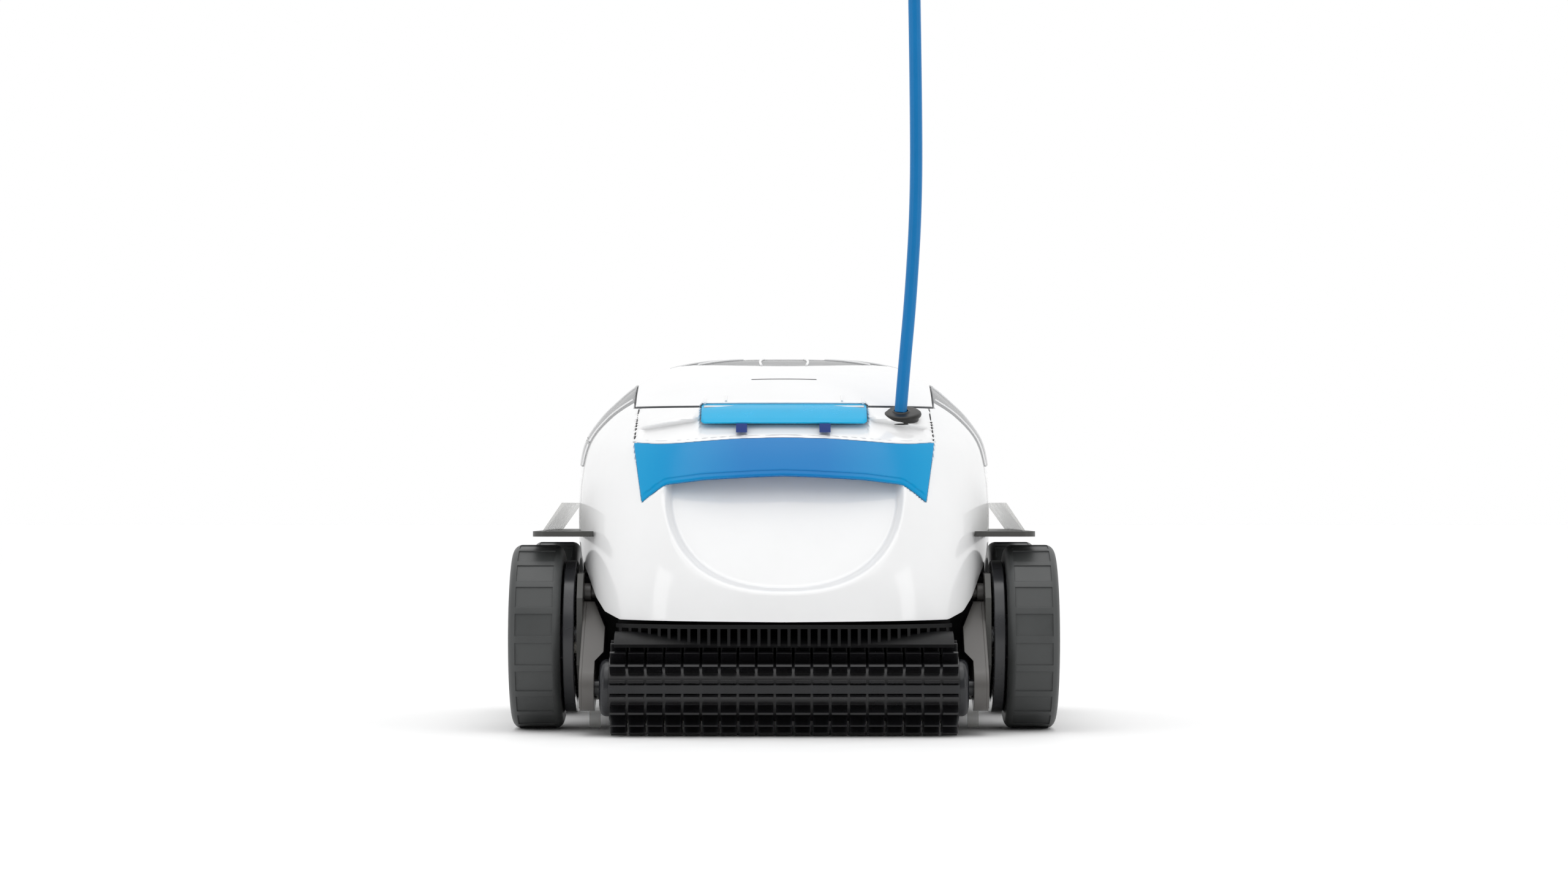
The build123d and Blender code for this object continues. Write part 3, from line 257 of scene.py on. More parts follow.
LOOKS = {
    "white_shell": moulded("white_shell", WHITE, (0.10, 0.18), 0.012, 1500.0, 0.02, coat=0.4),
    "smoked_clear": moulded("smoked_clear", (0.34, 0.345, 0.35), (0.10, 0.2), 0.04, 900.0, 0.03, see=0.3),
    "blue_band": band_material(),
    "light_blue": moulded("light_blue", (0.0, 0.40, 0.70), (0.2, 0.3), 0.04, 1600.0, 0.04, shine=0.3),
    "navy": moulded("navy", (0.002, 0.024, 0.17), (0.22, 0.34), 0.06, shine=0.15),
    "tyre_rubber": moulded("tyre_rubber", (0.050, 0.053, 0.053), (0.38, 0.55), 0.12, 1400.0, 0.22,
                           soft_edge=0.0009),
    "rim_grey": moulded("rim_grey", (0.022, 0.022, 0.024), (0.35, 0.5), 0.08, 1600.0, 0.1, shine=0.35,
                        soft_edge=0.0006),
    "drum_grey": moulded("drum_grey", (0.036, 0.037, 0.041), (0.20, 0.32), 0.06, 1600.0, 0.05,
                         soft_edge=0.0006),
    "gear_white": moulded("gear_white", (0.68, 0.66, 0.60), (0.35, 0.5), 0.05),
    "arm_grey": moulded("arm_grey", (0.095, 0.090, 0.085), (0.30, 0.42), 0.06, 1900.0, 0.12,
                        soft_edge=0.0008),
    "fender_grey": moulded("fender_grey", (0.050, 0.050, 0.046), (0.32, 0.46), 0.07, 1900.0, 0.12,
                           soft_edge=0.0008),
    "brush_black": moulded("brush_black", (0.007, 0.007, 0.008), (0.16, 0.30), 0.2, 1300.0, 0.10,
                           soft_edge=0.0006),
    "brush_core": moulded("brush_core", (0.012, 0.013, 0.016), (0.20, 0.30), 0.1, soft_edge=0.0008),
    "black_plastic": moulded("black_plastic", (0.005, 0.005, 0.0055), (0.36, 0.5), 0.12, 1700.0, 0.12,
                             shine=0.2),
    "basket_grey": moulded("basket_grey", (0.21, 0.23, 0.25), (0.35, 0.5), 0.05),
    "basket_blue": moulded("basket_blue", (0.0, 0.21, 0.57), (0.2, 0.3), 0.05),
    "filter_net": net_material(),
    "clear_flap": moulded("clear_flap", (0.60, 0.60, 0.57), (0.2, 0.3), 0.012, 900.0, 0.02, see=0.6),
    "steel": brushed("steel", (0.56, 0.57, 0.59)),
    "motor_can": moulded("motor_can", (0.014, 0.014, 0.016), (0.4, 0.55), 0.1),
    "propeller_grey": moulded("propeller_grey", (0.10, 0.105, 0.12), (0.4, 0.5), 0.1, 1200.0, 0.15),
    "gland_black": moulded("gland_black", (0.010, 0.009, 0.008), (0.34, 0.46), 0.1, 1700.0, 0.12, shine=0.4),
    "cable_blue": moulded("cable_blue", (0.0, 0.17, 0.44), (0.28, 0.4), 0.05, 1500.0, 0.08, shine=0.3),
    "swivel_grey": moulded("swivel_grey", (0.075, 0.08, 0.085), (0.35, 0.5), 0.07),
}
slot_of = {row["node"]: row["material_slot"] for row in frame["record"]["subparts"]}


def dress(node):
    """Smooth shading and the slot's material for a CAD node, whose mesh stays as it is."""
    thing = frame["nodes"][node]
    thing.data.polygons.foreach_set("use_smooth", [True] * len(thing.data.polygons))
    weld = thing.modifiers.new("weld", "WELD")
    weld.merge_threshold = 0.00002
    split = thing.modifiers.new("creases", "EDGE_SPLIT")
    split.split_angle = radians(28.0)
    if not thing.material_slots:
        thing.data.materials.append(None)
    for place in thing.material_slots:
        place.material = LOOKS[slot_of[node]]


for node_name in frame["nodes"]:
    dress(node_name)


# ---------------------------------------------------------------- cable
# The route's points, the same as the model's but for the first, which lies inside the gland.
CABLE_ROUTE = [(0.0883, -0.0945, 0.2395), (0.0912, -0.0945, 0.275), (0.096, -0.0945, 0.326),
               (0.1003, -0.0945, 0.398), (0.1002, -0.0945, 0.478), (0.0989, -0.0945, 0.557)]
CABLE_R = 0.00475

curve = bpy.data.curves.new("supply_cable", "CURVE")
curve.dimensions = "3D"
line = curve.splines.new("NURBS")
line.points.add(len(CABLE_ROUTE) - 1)
for place, at in zip(line.points, CABLE_ROUTE):
    place.co = (*at, 1.0)
line.order_u = 3
line.use_endpoint_u = True
line.resolution_u = 16
curve.bevel_depth = CABLE_R
curve.bevel_resolution = 8
cable = bpy.data.objects.new("supply_cable", curve)
bpy.context.collection.objects.link(cable)
curve.materials.append(LOOKS["cable_blue"])
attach(cable, "chassis")
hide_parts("cable")


# ---------------------------------------------------------------- body envelope, as in the model
# height, half width, foremost y, rearmost y, squareness of the plan outline
ENVELOPE = np.array([
    (66, 155, -203, 184, 3.4), (82, 157, -204, 188, 3.4), (110, 159, -200, 192, 3.3),
    (140, 160, -187, 194, 3.2), (168, 160.5, -171, 193, 3.1), (195, 160, -152, 189, 3.0),
    (218, 156, -133, 182, 2.9), (236, 145, -111, 172, 2.8), (250, 132, -86, 159, 2.7),
    (262, 119, -62, 143, 2.6), (272, 103, -36, 124, 2.5), (279, 84, -8, 103, 2.4),
    (283.4, 54, 18, 78, 2.2), (285, 0.5, 44, 46, 2.0)])
WIDEST_Y = 45.0
CHEEK_Y, TAIL_Y, LID_END_Y = -45.0, 125.5, 146.0
SHOULDER_X, SEAM_Z, GAP, WALL = 114.5, 244.0, 1.0, 3.0
WINDOW_TOP_X = SHOULDER_X + GAP
FENDER_TOP, DECK_TOP = 149.5, 199.5
OUTLET_Y = 67.0
# Half width, and how far each ring of the outlet reaches to the front and to the rear of its centre.
OUTLET_OUTER, OUTLET_INNER = (95.0, 80.0, 62.0), (58.0, 38.0, 38.0)


def station(level):
    """The envelope's five numbers at levels 0 to 13, smooth between its rows."""
    level = np.asarray(level, float)
    i = np.clip(level.astype(int), 0, len(ENVELOPE) - 2)
    t = (level - i)[..., None]
    a, b, c, d = (ENVELOPE[np.clip(i + k, 0, len(ENVELOPE) - 1)] for k in (-1, 0, 1, 2))
    row = 0.5 * (2 * b + (c - a) * t + (2 * a - 5 * b + 4 * c - d) * t**2 + (3 * b - a - 3 * c + d) * t**3)
    return np.moveaxis(row, -1, 0)


LEVELS = np.linspace(0, len(ENVELOPE) - 1, 2601)
HEIGHTS = station(LEVELS)[0]


def level_of(height):
    """The level at a height."""
    return np.interp(height, HEIGHTS, LEVELS)


def front_y(x, height, inset=0.0):
    """The envelope's front face at an x and a height."""
    _, half, front, _, square = station(level_of(height))
    share = np.clip(np.abs(x) / (half - inset), 0, 1) ** square
    return WIDEST_Y - (WIDEST_Y - front - inset) * (1 - share) ** (1 / square)


def side_x(y, height, inset=0.0):
    """The envelope's half width at a y and a height."""
    _, half, front, rear, square = station(level_of(height))
    reach = np.where(y < WIDEST_Y, WIDEST_Y - front, rear - WIDEST_Y) - inset
    return (half - inset) * (1 - np.clip(np.abs(y - WIDEST_Y) / reach, 0, 1) ** square) ** (1 / square)


def top_height(x, y):
    """Height of the envelope over points of the plan."""
    x, y = np.broadcast_arrays(np.asarray(x, float), np.asarray(y, float))
    low, high = np.zeros(x.shape), np.full(x.shape, len(ENVELOPE) - 1.0)
    for _ in range(34):
        middle = (low + high) / 2
        _, half, front, rear, square = station(middle)
        reach = np.where(y < WIDEST_Y, WIDEST_Y - front, rear - WIDEST_Y)
        outside = np.abs(x / half) ** square + np.abs((y - WIDEST_Y) / reach) ** square > 1
        low, high = np.where(outside, low, middle), np.where(outside, middle, high)
    return station(low)[0]


def smooth(value, start, end):
    """0 at start, 1 at end, with soft ends."""
    t = np.clip((value - start) / (end - start), 0, 1)
    return t * t * (3 - 2 * t)


# ---------------------------------------------------------------- mesh tools
def mesh_piece(name, points, faces, look, body, hides=(), wall=0.0, edge=0.5, crease=40.0,
               outwards=None):
    """A piece from points in millimetres. wall makes a sheet solid, inwards, and edge rounds its rims.

    outwards is a point that the sheet faces away from.
    """
    data = bpy.data.meshes.new(name)
    data.from_pydata([tuple(MM * c for c in p) for p in points], [], faces)
    data.update()
    if outwards is not None:
        middle = Vector(outwards) * MM
        facing = sum((f.center - middle).dot(f.normal) * f.area for f in data.polygons)
        if facing < 0:
            data.flip_normals()
    data.polygons.foreach_set("use_smooth", [True] * len(data.polygons))
    data.materials.append(LOOKS[look])
    piece = bpy.data.objects.new(name, data)
    bpy.context.collection.objects.link(piece)
    if wall:
        solid = piece.modifiers.new("wall", "SOLIDIFY")
        solid.thickness = wall * MM
        solid.offset = -1.0
    if edge:
        bevel = piece.modifiers.new("rims", "BEVEL")
        bevel.width = edge * MM
        bevel.segments = 2
        bevel.limit_method = "ANGLE"
        bevel.angle_limit = radians(50.0)
    split = piece.modifiers.new("creases", "EDGE_SPLIT")
    split.split_angle = radians(crease)
    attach(piece, body)
    if hides:
        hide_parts(*hides)
    return piece


def grid_faces(rows, columns, closed=False, first=0):
    """Quads over a grid of points. A closed grid joins its last column to its first."""
    across = columns if closed else columns - 1
    return [(first + i * columns + j, first + i * columns + (j + 1) % columns,
             first + (i + 1) * columns + (j + 1) % columns, first + (i + 1) * columns + j)
            for i in range(rows - 1) for j in range(across)]


def sheet_piece(name, x, y, z, look, body, closed=False, **rest):
    """A piece from three equal grids of coordinates."""
    x, y, z = np.broadcast_arrays(x, y, z)
    rows, columns = x.shape
    points = np.stack([x, y, z], -1).reshape(-1, 3).tolist()
    return mesh_piece(name, points, grid_faces(rows, columns, closed), look, body, **rest)


def rope_points(route, radius, sides=8):
    """Points and faces of a tube along a polyline, with closed ends."""
    route = [Vector(p) for p in route]
    points, faces = [], []
    for k, at in enumerate(route):
        along = (route[min(k + 1, len(route) - 1)] - route[max(k - 1, 0)]).normalized()
        across = along.cross(Vector((0, 0, 1)) if abs(along.z) < 0.9 else Vector((1, 0, 0))).normalized()
        up = across.cross(along)
        points += [at + radius * (cos(tau * i / sides) * across + sin(tau * i / sides) * up)
                   for i in range(sides)]
    faces = grid_faces(len(route), sides, closed=True)
    faces += [tuple(reversed(range(sides))), tuple(range(len(points) - sides, len(points)))]
    return [tuple(p) for p in points], faces


def rope_piece(name, routes, radius, look, body):
    """One piece made of thin round lines along the routes."""
    points, faces = [], []
    for route in routes:
        more, more_faces = rope_points(route, radius)
        faces += [tuple(i + len(points) for i in face) for face in more_faces]
        points += more
    return mesh_piece(name, points, faces, look, body, edge=0.0)


# ---------------------------------------------------------------- front shell with its grip scoop
SCOOP_X, SCOOP_Z, SCOOP_DROP = 90.0, 184.0, 80.0
SCOOP_POWER = 2.35
LOWER_EDGE = np.array([(0, 84.0), (121, 85), (133, 90.5), (140.5, 101), (147.5, 117), (153.5, 128),
                       (158, 143), (161, 160)])
BAND_TOP = np.array([(0, 219.5), (35, 218.6), (60, 216.8), (78, 215.3), (94, 214.7), (113, 216)])
BAND_BOTTOM = np.array([(0, 191.2), (23, 190.4), (60, 188.3), (88, 184.6), (96, 179), (105.5, 171.5)])
BAND_TIP, BAND_EAR = (113.0, 216.0), (105.5, 171.5)
BAND_PROUD, BAND_THICK = 1.5, 5.0
LATCH_HALF, LATCH_LOW, LATCH_HIGH = 62.5, 230.4, 246.7
NOTCH_HALF, NOTCH_LOW = 63.5, 229.6
GLAND_X, GLAND_Y, GLAND_Z = 88.6, -94.5, 237.5


def round_line(table, x):
    """A height along one of the mirrored outlines, rounded at its points."""
    fine = np.linspace(0, table[-1, 0], 400)
    rough = np.interp(fine, table[:, 0], table[:, 1])
    kernel = np.hanning(41)
    kernel /= kernel.sum()
    lead = np.concatenate([rough[40:0:-1], rough, 2 * rough[-1] - rough[-2:-42:-1]])
    rounded = np.convolve(lead, kernel, "same")[40:-40]
    return np.interp(np.abs(x), fine, rounded)


def band_reach(z):
    """Half length of the band at a height, along its slanted ends."""
    return np.interp(z, (BAND_EAR[1], BAND_TIP[1]), (BAND_EAR[0], BAND_TIP[0]))


def front_depth(x, z):
    """How far the front shell lies behind the envelope, in y."""
    skin = front_y(x, z)
    # The scoop below and behind the band: a back wall that leans, behind steep sides.
    wall = np.where(z < 200, -199 + 0.72 * (z - 100), -127.0)
    ring = (np.abs(x / SCOOP_X) ** SCOOP_POWER
            + np.abs(np.minimum(z - SCOOP_Z, 0) / SCOOP_DROP) ** SCOOP_POWER) ** (1 / SCOOP_POWER)
    roof = 1 - smooth(z, 212.5, 217.5)
    scoop = np.maximum(wall - skin, 0) * (1 - smooth(ring, 0.925, 1.0)) * roof
    # The bed that the band lies in.
    low, high = round_line(BAND_BOTTOM, x), round_line(BAND_TOP, x)
    inside = (smooth(z, low - 0.5, low + 0.7) * (1 - smooth(z, high - 0.7, high + 0.5))
              * (1 - smooth(np.abs(x) - band_reach(z), -0.7, 0.5)))
    bed = 4.4 * inside
    # The ledge over the band, which slopes back and steps up again at a break line.
    line = np.interp(np.abs(x), (0, 64, 112), (233, 232, 224.5))
    ledge = (4.6 * smooth(z, high, line) * (1 - smooth(z, line, line + 4.0))
             * (1 - smooth(np.abs(x), 104, 112)))
    # The shoulder pads over it, which swell out and sink back to the seam.
    pad = (-4.2 * smooth(z, line, line + 3.5) * (1 - smooth(z, line + 4.5, 243.0))
           * smooth(np.abs(x), 65, 69) * (1 - smooth(np.abs(x), 102, 110)))
    # The latch's notch, and the lower step in front of it.
    notch = (9.0 * smooth(z, NOTCH_LOW - 0.6, NOTCH_LOW + 0.6)
             * (1 - smooth(np.abs(x), NOTCH_HALF - 1.0, NOTCH_HALF + 0.6)))
    step = 3.4 * (1 - smooth(np.abs(x), NOTCH_HALF - 1.0, NOTCH_HALF + 0.8)) * smooth(z, high, 227)
    # A slit down each end of the part over the band.
    slit_x = np.interp(z, (216.0, 244.0), (112.9, 110.9))
    slit = 2.6 * (1 - smooth(np.abs(np.abs(x) - slit_x), 0.2, 0.75)) * (z > 216)
    return np.maximum.reduce([scoop, bed, ledge + step, notch, slit]) + pad


def spaced(low, high, pitch, *dense):
    """Places from low to high, pitch apart, and closer round the dense places."""
    places = [low]
    while places[-1] < high:
        near = min([abs(places[-1] - d) for d in dense] + [99.0])
        places.append(places[-1] + (pitch * 0.32 if near < 3.2 else pitch))
    return np.array(places[:-1] + [high])


def front_shell():
    """One moulding: the front face, the scoop, the ledge and the latch's notch."""
    share = spaced(-160, 160, 1.7, -88, 88, -65, 65, -109, 109, -113, 113) / 160
    climb = (spaced(85, SEAM_Z, 1.6, 190, 216, 219, 230, 184) - 85) / (SEAM_Z - 85)
    share, climb = np.meshgrid(share, climb)

    def reach(z):
        """x where the shell ends at its rear edge."""
        return side_x(CHEEK_Y, z)

    # Columns keep their x near the middle and lean with the shell's end at the sides.
    low = np.full(share.shape, 85.0)
    for _ in range(12):
        x_low = share * reach(low)
        low = 0.5 * low + 0.5 * np.interp(np.abs(x_low), LOWER_EDGE[:, 0], LOWER_EDGE[:, 1])
    # The top edge meets the lid. Beside the lid's corners it runs on up to the windows' line.
    heights = np.linspace(SEAM_Z, 262.0, 200)
    beside = np.abs(share) * reach(SEAM_Z) > WINDOW_TOP_X
    corner = np.interp(-WINDOW_TOP_X / np.maximum(np.abs(share), 0.01), -reach(heights), heights)
    top = np.where(beside, corner, SEAM_Z - 0.9)
    z = low + (top - low) * climb
    x = share * reach(z)
    depth = front_depth(x, z)
    y = front_y(x, z) + depth
    y = np.where(np.abs(share) > 0.999, CHEEK_Y, y)
    return sheet_piece("front_cover", x, y, z, "white_shell", "chassis", wall=WALL, edge=0.6,
                       hides=("front_shell", "grip_pocket"), outwards=(0, 60, 150))


front_shell()


# ---------------------------------------------------------------- band
def grip_band():
    """The blue grip band: slanted ends, and a rounded edge line along its bottom."""
    along = np.linspace(-1, 1, 181)
    up = np.concatenate([[0, 0.012, 0.03], np.linspace(0.06, 0.30, 13), np.linspace(0.34, 0.97, 18),
                         [0.99, 1]])
    along, up = np.meshgrid(along, up)
    x_low, x_high = along * BAND_EAR[0], along * BAND_TIP[0]
    z_low, z_high = round_line(BAND_BOTTOM, x_low), round_line(BAND_TOP, x_high)
    x = x_low + (x_high - x_low) * up
    z = z_low + (z_high - z_low) * up
    lift = z - z_low
    bevel = 1.5 * (1 - smooth(lift, 0.0, 1.4)) + 0.9 * (1 - smooth(lift, 3.9, 4.7))
    y = front_y(x, z, -BAND_PROUD) + bevel
    return sheet_piece("grip_band", x, y, z, "blue_band", "chassis", wall=BAND_THICK, edge=0.7,
                       hides=("handle_band",), outwards=(0, 60, 150))


grip_band()


# ---------------------------------------------------------------- latch
def latch_bar():
    """The light blue latch: a rounded bar with a flat upper facet, bowed as the shell is."""
    middle_z = (LATCH_LOW + LATCH_HIGH) / 2
    # (depth behind the foremost line, height): once round the section.
    section = [(0.9, 231.4), (0.2, 233.0), (0.0, 235.2), (0.5, 238.6), (1.5, 241.6), (2.3, 243.0),
               (4.6, 245.2), (6.4, 246.3), (7.7, 246.4), (8.5, 245.4), (8.2, 243.0), (7.2, 238.0),
               (6.2, 233.2), (5.2, 230.9), (3.4, 230.4), (1.9, 230.6)]
    stations = np.concatenate([[-1, -0.992, -0.975, -0.955], np.linspace(-0.93, 0.93, 63),
                               [0.955, 0.975, 0.992, 1]])
    grow = 1 - 0.22 * np.clip((np.abs(stations) - 0.955) / 0.045, 0, 1) ** 2.2
    front = float(front_y(0.0, middle_z, 0.0))
    depth = np.array([p[0] for p in section])
    height = np.array([p[1] for p in section])
    mid_depth = 4.0         # the bar's ends shrink towards this depth
    x = np.repeat(stations[:, None] * LATCH_HALF, len(section), 1)
    z = middle_z + (height - middle_z)[None] * grow[:, None]
    y = front_y(x, z, -1.2) - 1.0 + mid_depth + (depth - mid_depth)[None] * grow[:, None]
    rows, columns = x.shape
    points = np.stack([x, y, z], -1).reshape(-1, 3).tolist()
    faces = grid_faces(rows, columns, closed=True)
    faces += [tuple(range(columns)), tuple(reversed(range((rows - 1) * columns, rows * columns)))]
    return mesh_piece("latch_bar", points, faces, "light_blue", "latch", hides=("lid_latch",), edge=0.35,
                      crease=34.0, outwards=(0, front + 4, middle_z))


latch_bar()


# ---------------------------------------------------------------- lid, outlet ring and its ribs
LATCH_EDGE_Y = -90.5        # the lid's edge behind the middle of the latch
CORNER_R = 5.0              # the lid's rear corners
NOTCH_CORNER_Y, FRONT_CORNER_Y = -88.3, -80.0


def lid_reach(angle):
    """Distance from the outlet's centre to the lid's edge, along each angle."""
    low, high = np.zeros(angle.shape), np.full(angle.shape, 260.0)
    _, half, front, _, square = station(level_of(SEAM_Z))
    for _ in range(34):
        middle = (low + high) / 2
        x, y = middle * np.sin(angle), OUTLET_Y - middle * np.cos(angle)
        reach = WIDEST_Y - front - 1.0
        seam = np.where(y < WIDEST_Y, np.abs(x / (half - 1.0)) ** square
                        + np.abs((y - WIDEST_Y) / reach) ** square, 0.0)
        over_x, over_y = np.abs(x) - (SHOULDER_X - 0.5 - CORNER_R), y - (LID_END_Y - CORNER_R)
        round_out = np.hypot(np.maximum(over_x, 0), np.maximum(over_y, 0)) > CORNER_R
        bow = front_y(np.minimum(np.abs(x), NOTCH_HALF), SEAM_Z) - front_y(0.0, SEAM_Z)
        notch = (y < LATCH_EDGE_Y + bow) & (np.abs(x) < NOTCH_HALF)
        outside = (seam > 1) | round_out | notch
        low, high = np.where(outside, low, middle), np.where(outside, middle, high)
    return low


def ellipse_reach(angle, axes):
    """Distance from the outlet's centre to one of its rings, along each angle."""
    along = np.where(np.cos(angle) > 0, axes[1], axes[2])
    return 1 / np.hypot(np.sin(angle) / axes[0], np.cos(angle) / along)


def lid_angles():
    """Angles round the outlet, closer where the lid's edge turns corners."""
    even = np.linspace(-pi, pi, 541)[:-1]
    corners = [np.arctan2(NOTCH_HALF, OUTLET_Y - NOTCH_CORNER_Y),
               np.arctan2(SHOULDER_X, -(LID_END_Y - OUTLET_Y)),
               np.arctan2(SHOULDER_X - 1, OUTLET_Y - FRONT_CORNER_Y)]
    extra = [side * (c + d) for c in corners for side in (-1, 1) for d in np.linspace(-0.03, 0.03, 13)]
    return np.array(sorted(set(np.round(np.concatenate([even, extra]), 5))))


def ring_sheet(name, angle, inner, outer, rows, look, body, rise=0.0, **rest):
    """A sheet over the envelope's top, between two distances from the outlet's centre."""
    share = np.concatenate([[0, 0.006], np.linspace(0.02, 0.98, rows), [0.994, 1]])[:, None]
    r = inner[None] + (outer - inner)[None] * share
    x, y = r * np.sin(angle)[None], OUTLET_Y - r * np.cos(angle)[None]
    z = top_height(x, y) + (rise(share) if callable(rise) else rise)
    return sheet_piece(name, x, y, z, look, body, closed=True, outwards=(0, 45, 100), **rest)


def top_lid():
    """The white lid, from the outlet's ring out to the seam."""
    angle = lid_angles()
    inner = ellipse_reach(angle, OUTLET_OUTER) + 0.4

    def rise(share):
        """A fine rolled edge round the outlet, and a soft roll at the seam."""
        return -0.7 * smooth(share, 0.985, 1.0) - 0.5 * (1 - smooth(share, 0.0, 0.02))

    return ring_sheet("top_lid", angle, inner, lid_reach(angle), 40, "white_shell", "lid", rise=rise,
                      hides=("lid",), wall=WALL, edge=0.6)


top_lid()


def outlet_ring():
    """The smoked window round the outlet's grille."""
    angle = np.linspace(-pi, pi, 241)[:-1]
    return ring_sheet("outlet_ring", angle, ellipse_reach(angle, OUTLET_INNER) + 0.4,
                      ellipse_reach(angle, OUTLET_OUTER) - 0.2, 14, "smoked_clear", "lid", rise=-0.5,
                      hides=("outlet_window",), wall=2.4, edge=0.4)


outlet_ring()


def over_lid(x, y, lift=0.0):
    """A point over the envelope's top."""
    return (x, y, float(top_height(x, y)) + lift)


# Where each rib starts on the ring's inner edge and ends on its outer one, in degrees from the front.
RIBS = ((23.7, 12.5), (46, 50), (58, 63), (70, 75), (82, 87), (94, 99), (108, 112), (127, 130), (148, 150),
        (169, 170))


def outlet_ribs():
    """White ribs that cross the smoked ring, swept back a little on their way out."""
    share = np.linspace(0, 1, 17)
    routes = []
    for side in (-1, 1):
        for start, end in RIBS:
            angle = side * np.radians(start + (end - start) * share)
            inner, outer = ellipse_reach(angle, OUTLET_INNER), ellipse_reach(angle, OUTLET_OUTER)
            r = inner + (outer - inner) * share
            routes.append([over_lid(x, y) for x, y in zip(r * np.sin(angle), OUTLET_Y - r * np.cos(angle))])
    return rope_piece("outlet_ribs", routes, 1.0, "white_shell", "lid")


outlet_ribs()


LINE_HEIGHT, LINE_HALF = 266.0, 25.0
LUG_RIBS_X = (-60.0, -44.0, 44.0, 60.0)


def lid_marks():
    """A thin dark line across the lid's front, and light ribs over the latch's lugs."""
    slope_y = np.linspace(-80, -20, 200)
    line_y = np.interp(LINE_HEIGHT, top_height(0.0, slope_y), slope_y)
    line_route = [over_lid(x, line_y, -0.1) for x in np.linspace(-LINE_HALF, LINE_HALF, 31)]
    rope_piece("lid_line", [line_route], 0.45, "rim_grey", "lid")
    ribs = [[over_lid(x, y, 0.1) for y in np.linspace(-87.5, -79.0, 9)] for x in LUG_RIBS_X]
    rope_piece("latch_ribs", ribs, 0.9, "white_shell", "lid")


lid_marks()


def shell_lines():
    """Painted shade: dark lines down the slits at the ends of the top, and a grey line in the gap between lid
    and shell, in place of the shade in these gaps.
    """
    for name, side in (("left", -1), ("right", 1)):
        # Painted shade: a dark rope down inside each slit stands in for the shade in the groove.
        slit = [(side * x, float(front_y(x, z)) + 1.9, z)
                for x, z in zip(np.linspace(112.75, 111.0, 24), np.linspace(218.0, 242.0, 24))]
        rope_piece(f"{name}_slit_shade_line", [slit], 0.65, "rim_grey", "chassis")
        # Painted shade: a grey rope along the gap between lid and shell stands in for the shade in that gap.
        seam = [(side * x, float(front_y(x, SEAM_Z)) + 1.3, SEAM_Z - 0.2)
                for x in np.linspace(64.5, 113, 30)]
        rope_piece(f"{name}_seam_shade_line", [seam], 0.9, "swivel_grey", "chassis")


shell_lines()

GLAND_TILT = 19.0


def turned(profile, at, axis, steps=72):
    """Points and faces of a profile of (radius, height) turned round an axis."""
    axis = Vector(axis).normalized()
    across = axis.cross(Vector((1, 0, 0))).normalized()
    up = axis.cross(across)
    points = [Vector(at) + axis * h + r * (cos(tau * i / steps) * across + sin(tau * i / steps) * up)
              for r, h in profile for i in range(steps)]
    faces = grid_faces(len(profile), steps, closed=True)
    faces.append(tuple(range(len(points) - steps, len(points))))
    return [tuple(p) for p in points], faces


def gland_disc():
    """The rubber gland: a shallow disc with a rolled rim and a low lip round the cable."""
    tilt = radians(GLAND_TILT)
    profile = [(4.5, -2.0), (4.9, 1.6), (5.5, 2.3), (6.3, 2.2), (7.0, 1.5), (9.0, 1.35), (12.6, 1.5),
               (14.3, 1.3), (15.3, 0.5), (15.6, -0.6), (15.3, -1.6), (14.4, -2.2), (13.6, -2.4), (13.6, -5.0)]
    points, faces = turned(profile, (GLAND_X, GLAND_Y, GLAND_Z + 1.2), (0, -sin(tilt), cos(tilt)))
    mesh_piece("cable_grommet", points, faces, "gland_black", "chassis", hides=("cable_gland",), edge=0.0,
               outwards=(GLAND_X, GLAND_Y, GLAND_Z))


gland_disc()


# ---------------------------------------------------------------- flanks and their windows
SIDES = (("left", -1), ("right", 1))
FLANK_START, FLANK_END = CHEEK_Y + GAP, TAIL_Y - GAP


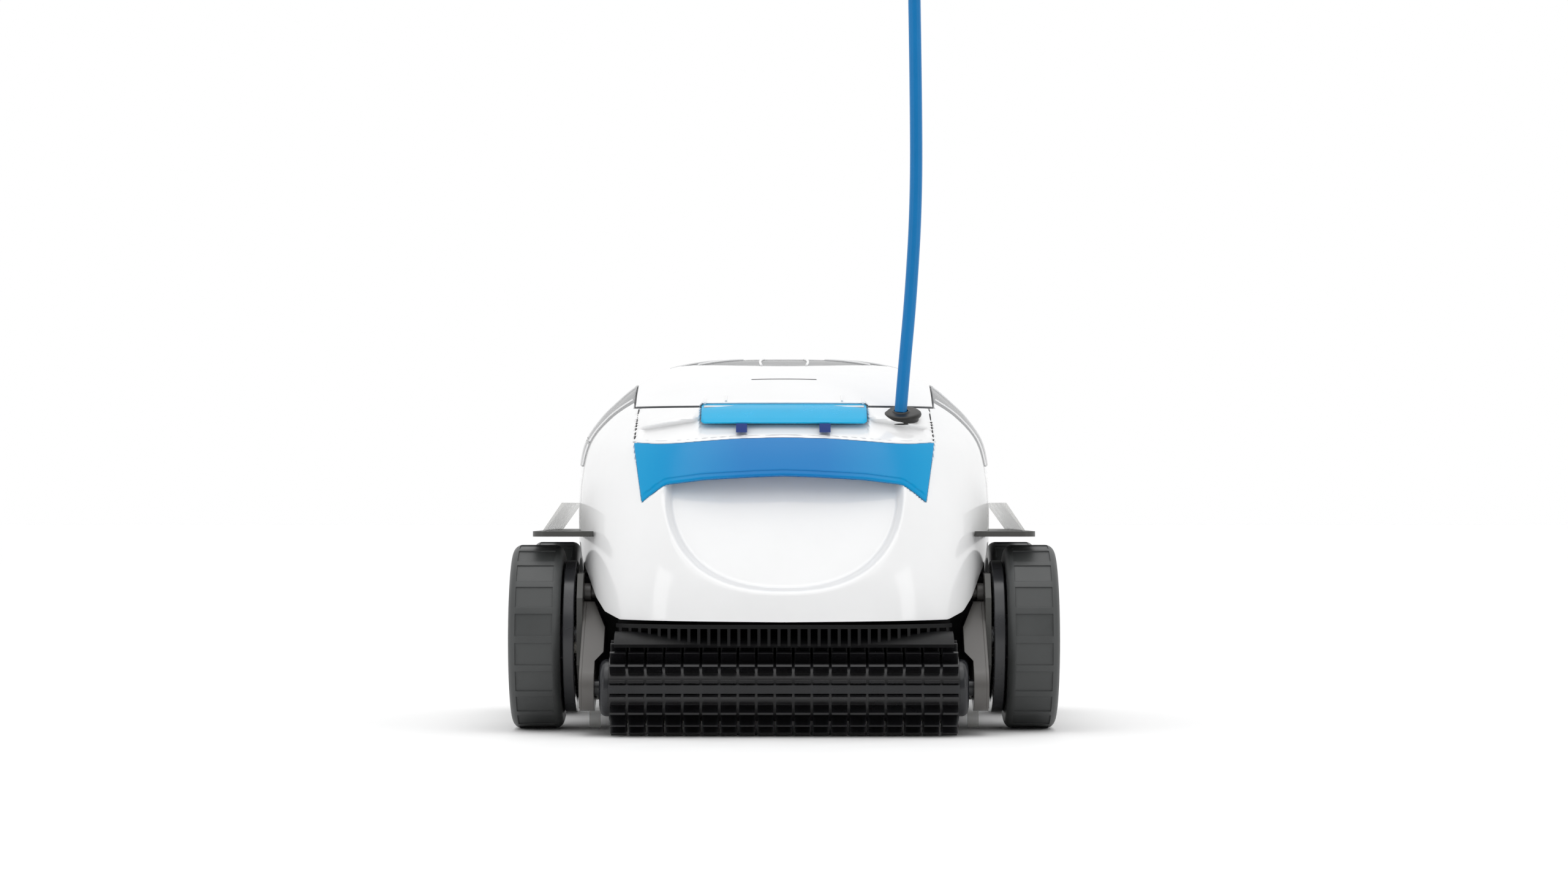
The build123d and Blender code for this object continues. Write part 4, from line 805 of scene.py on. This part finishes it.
def flank_sheet(name, side, low, high, look, rows, thick, lift=None, **rest):
    """A sheet over the envelope's flank. low and high are heights for each of its columns."""
    y = np.linspace(FLANK_START, FLANK_END, 100)[None]
    z = low + (high - low) * np.linspace(0, 1, rows)[:, None] + 0 * y
    x = side_x(y, z) + (0 if lift is None else lift(z))
    return sheet_piece(name, side * x, y, z, look, "chassis", wall=thick, outwards=(0, 45, 100), **rest)


def window_top(y):
    """Height of the line between window and lid."""
    return top_height(WINDOW_TOP_X, y)


def side_cover(name, side):
    """White flank under the window, with a moulded line that follows its top."""
    def lift(z):
        return -1.2 * (1 - smooth(np.abs(z - 192.0), 0.5, 1.6))

    return flank_sheet(f"{name}_side_cover", side, FENDER_TOP, 199.0, "white_shell", 40, WALL, lift, edge=0.5)


def side_window(name, side):
    """Smoked window between the flank and the lid, with its raised border."""
    y = np.linspace(FLANK_START, FLANK_END, 100)[None]
    return flank_sheet(f"{name}_window", side, DECK_TOP, window_top(y), "smoked_clear", 44, 2.4, edge=0.5)


RIBS_Y = (-36.0, 4.0, 44.0, 84.0, 117.0)


def window_ribs(name, side):
    """White ribs down the window."""
    routes = [[(side * (float(side_x(y, z)) - 0.2), y, z)
               for z in np.linspace(DECK_TOP + 0.6, float(window_top(y)) - 0.8, 26)] for y in RIBS_Y]
    return rope_piece(f"{name}_window_ribs", routes, 1.1, "white_shell", "chassis")


for side_name, side_sign in SIDES:
    cover = side_cover(side_name, side_sign)
    window = side_window(side_name, side_sign)
    window_ribs(side_name, side_sign)
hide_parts("side_panels")
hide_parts("side_windows")

# ---------------------------------------------------------------- floor
floor_mesh = bpy.data.meshes.new("floor")
FLOOR_HALF = 30.0
floor_mesh.from_pydata([(-FLOOR_HALF, -FLOOR_HALF, 0), (FLOOR_HALF, -FLOOR_HALF, 0),
                        (FLOOR_HALF, FLOOR_HALF, 0), (-FLOOR_HALF, FLOOR_HALF, 0)], [], [(0, 1, 2, 3)])
floor = bpy.data.objects.new("floor", floor_mesh)
bpy.context.collection.objects.link(floor)
floor_mesh.materials.append(moulded("floor_white", (0.95, 0.95, 0.95), (0.6, 0.7), 0.004, 60.0, 0.0))
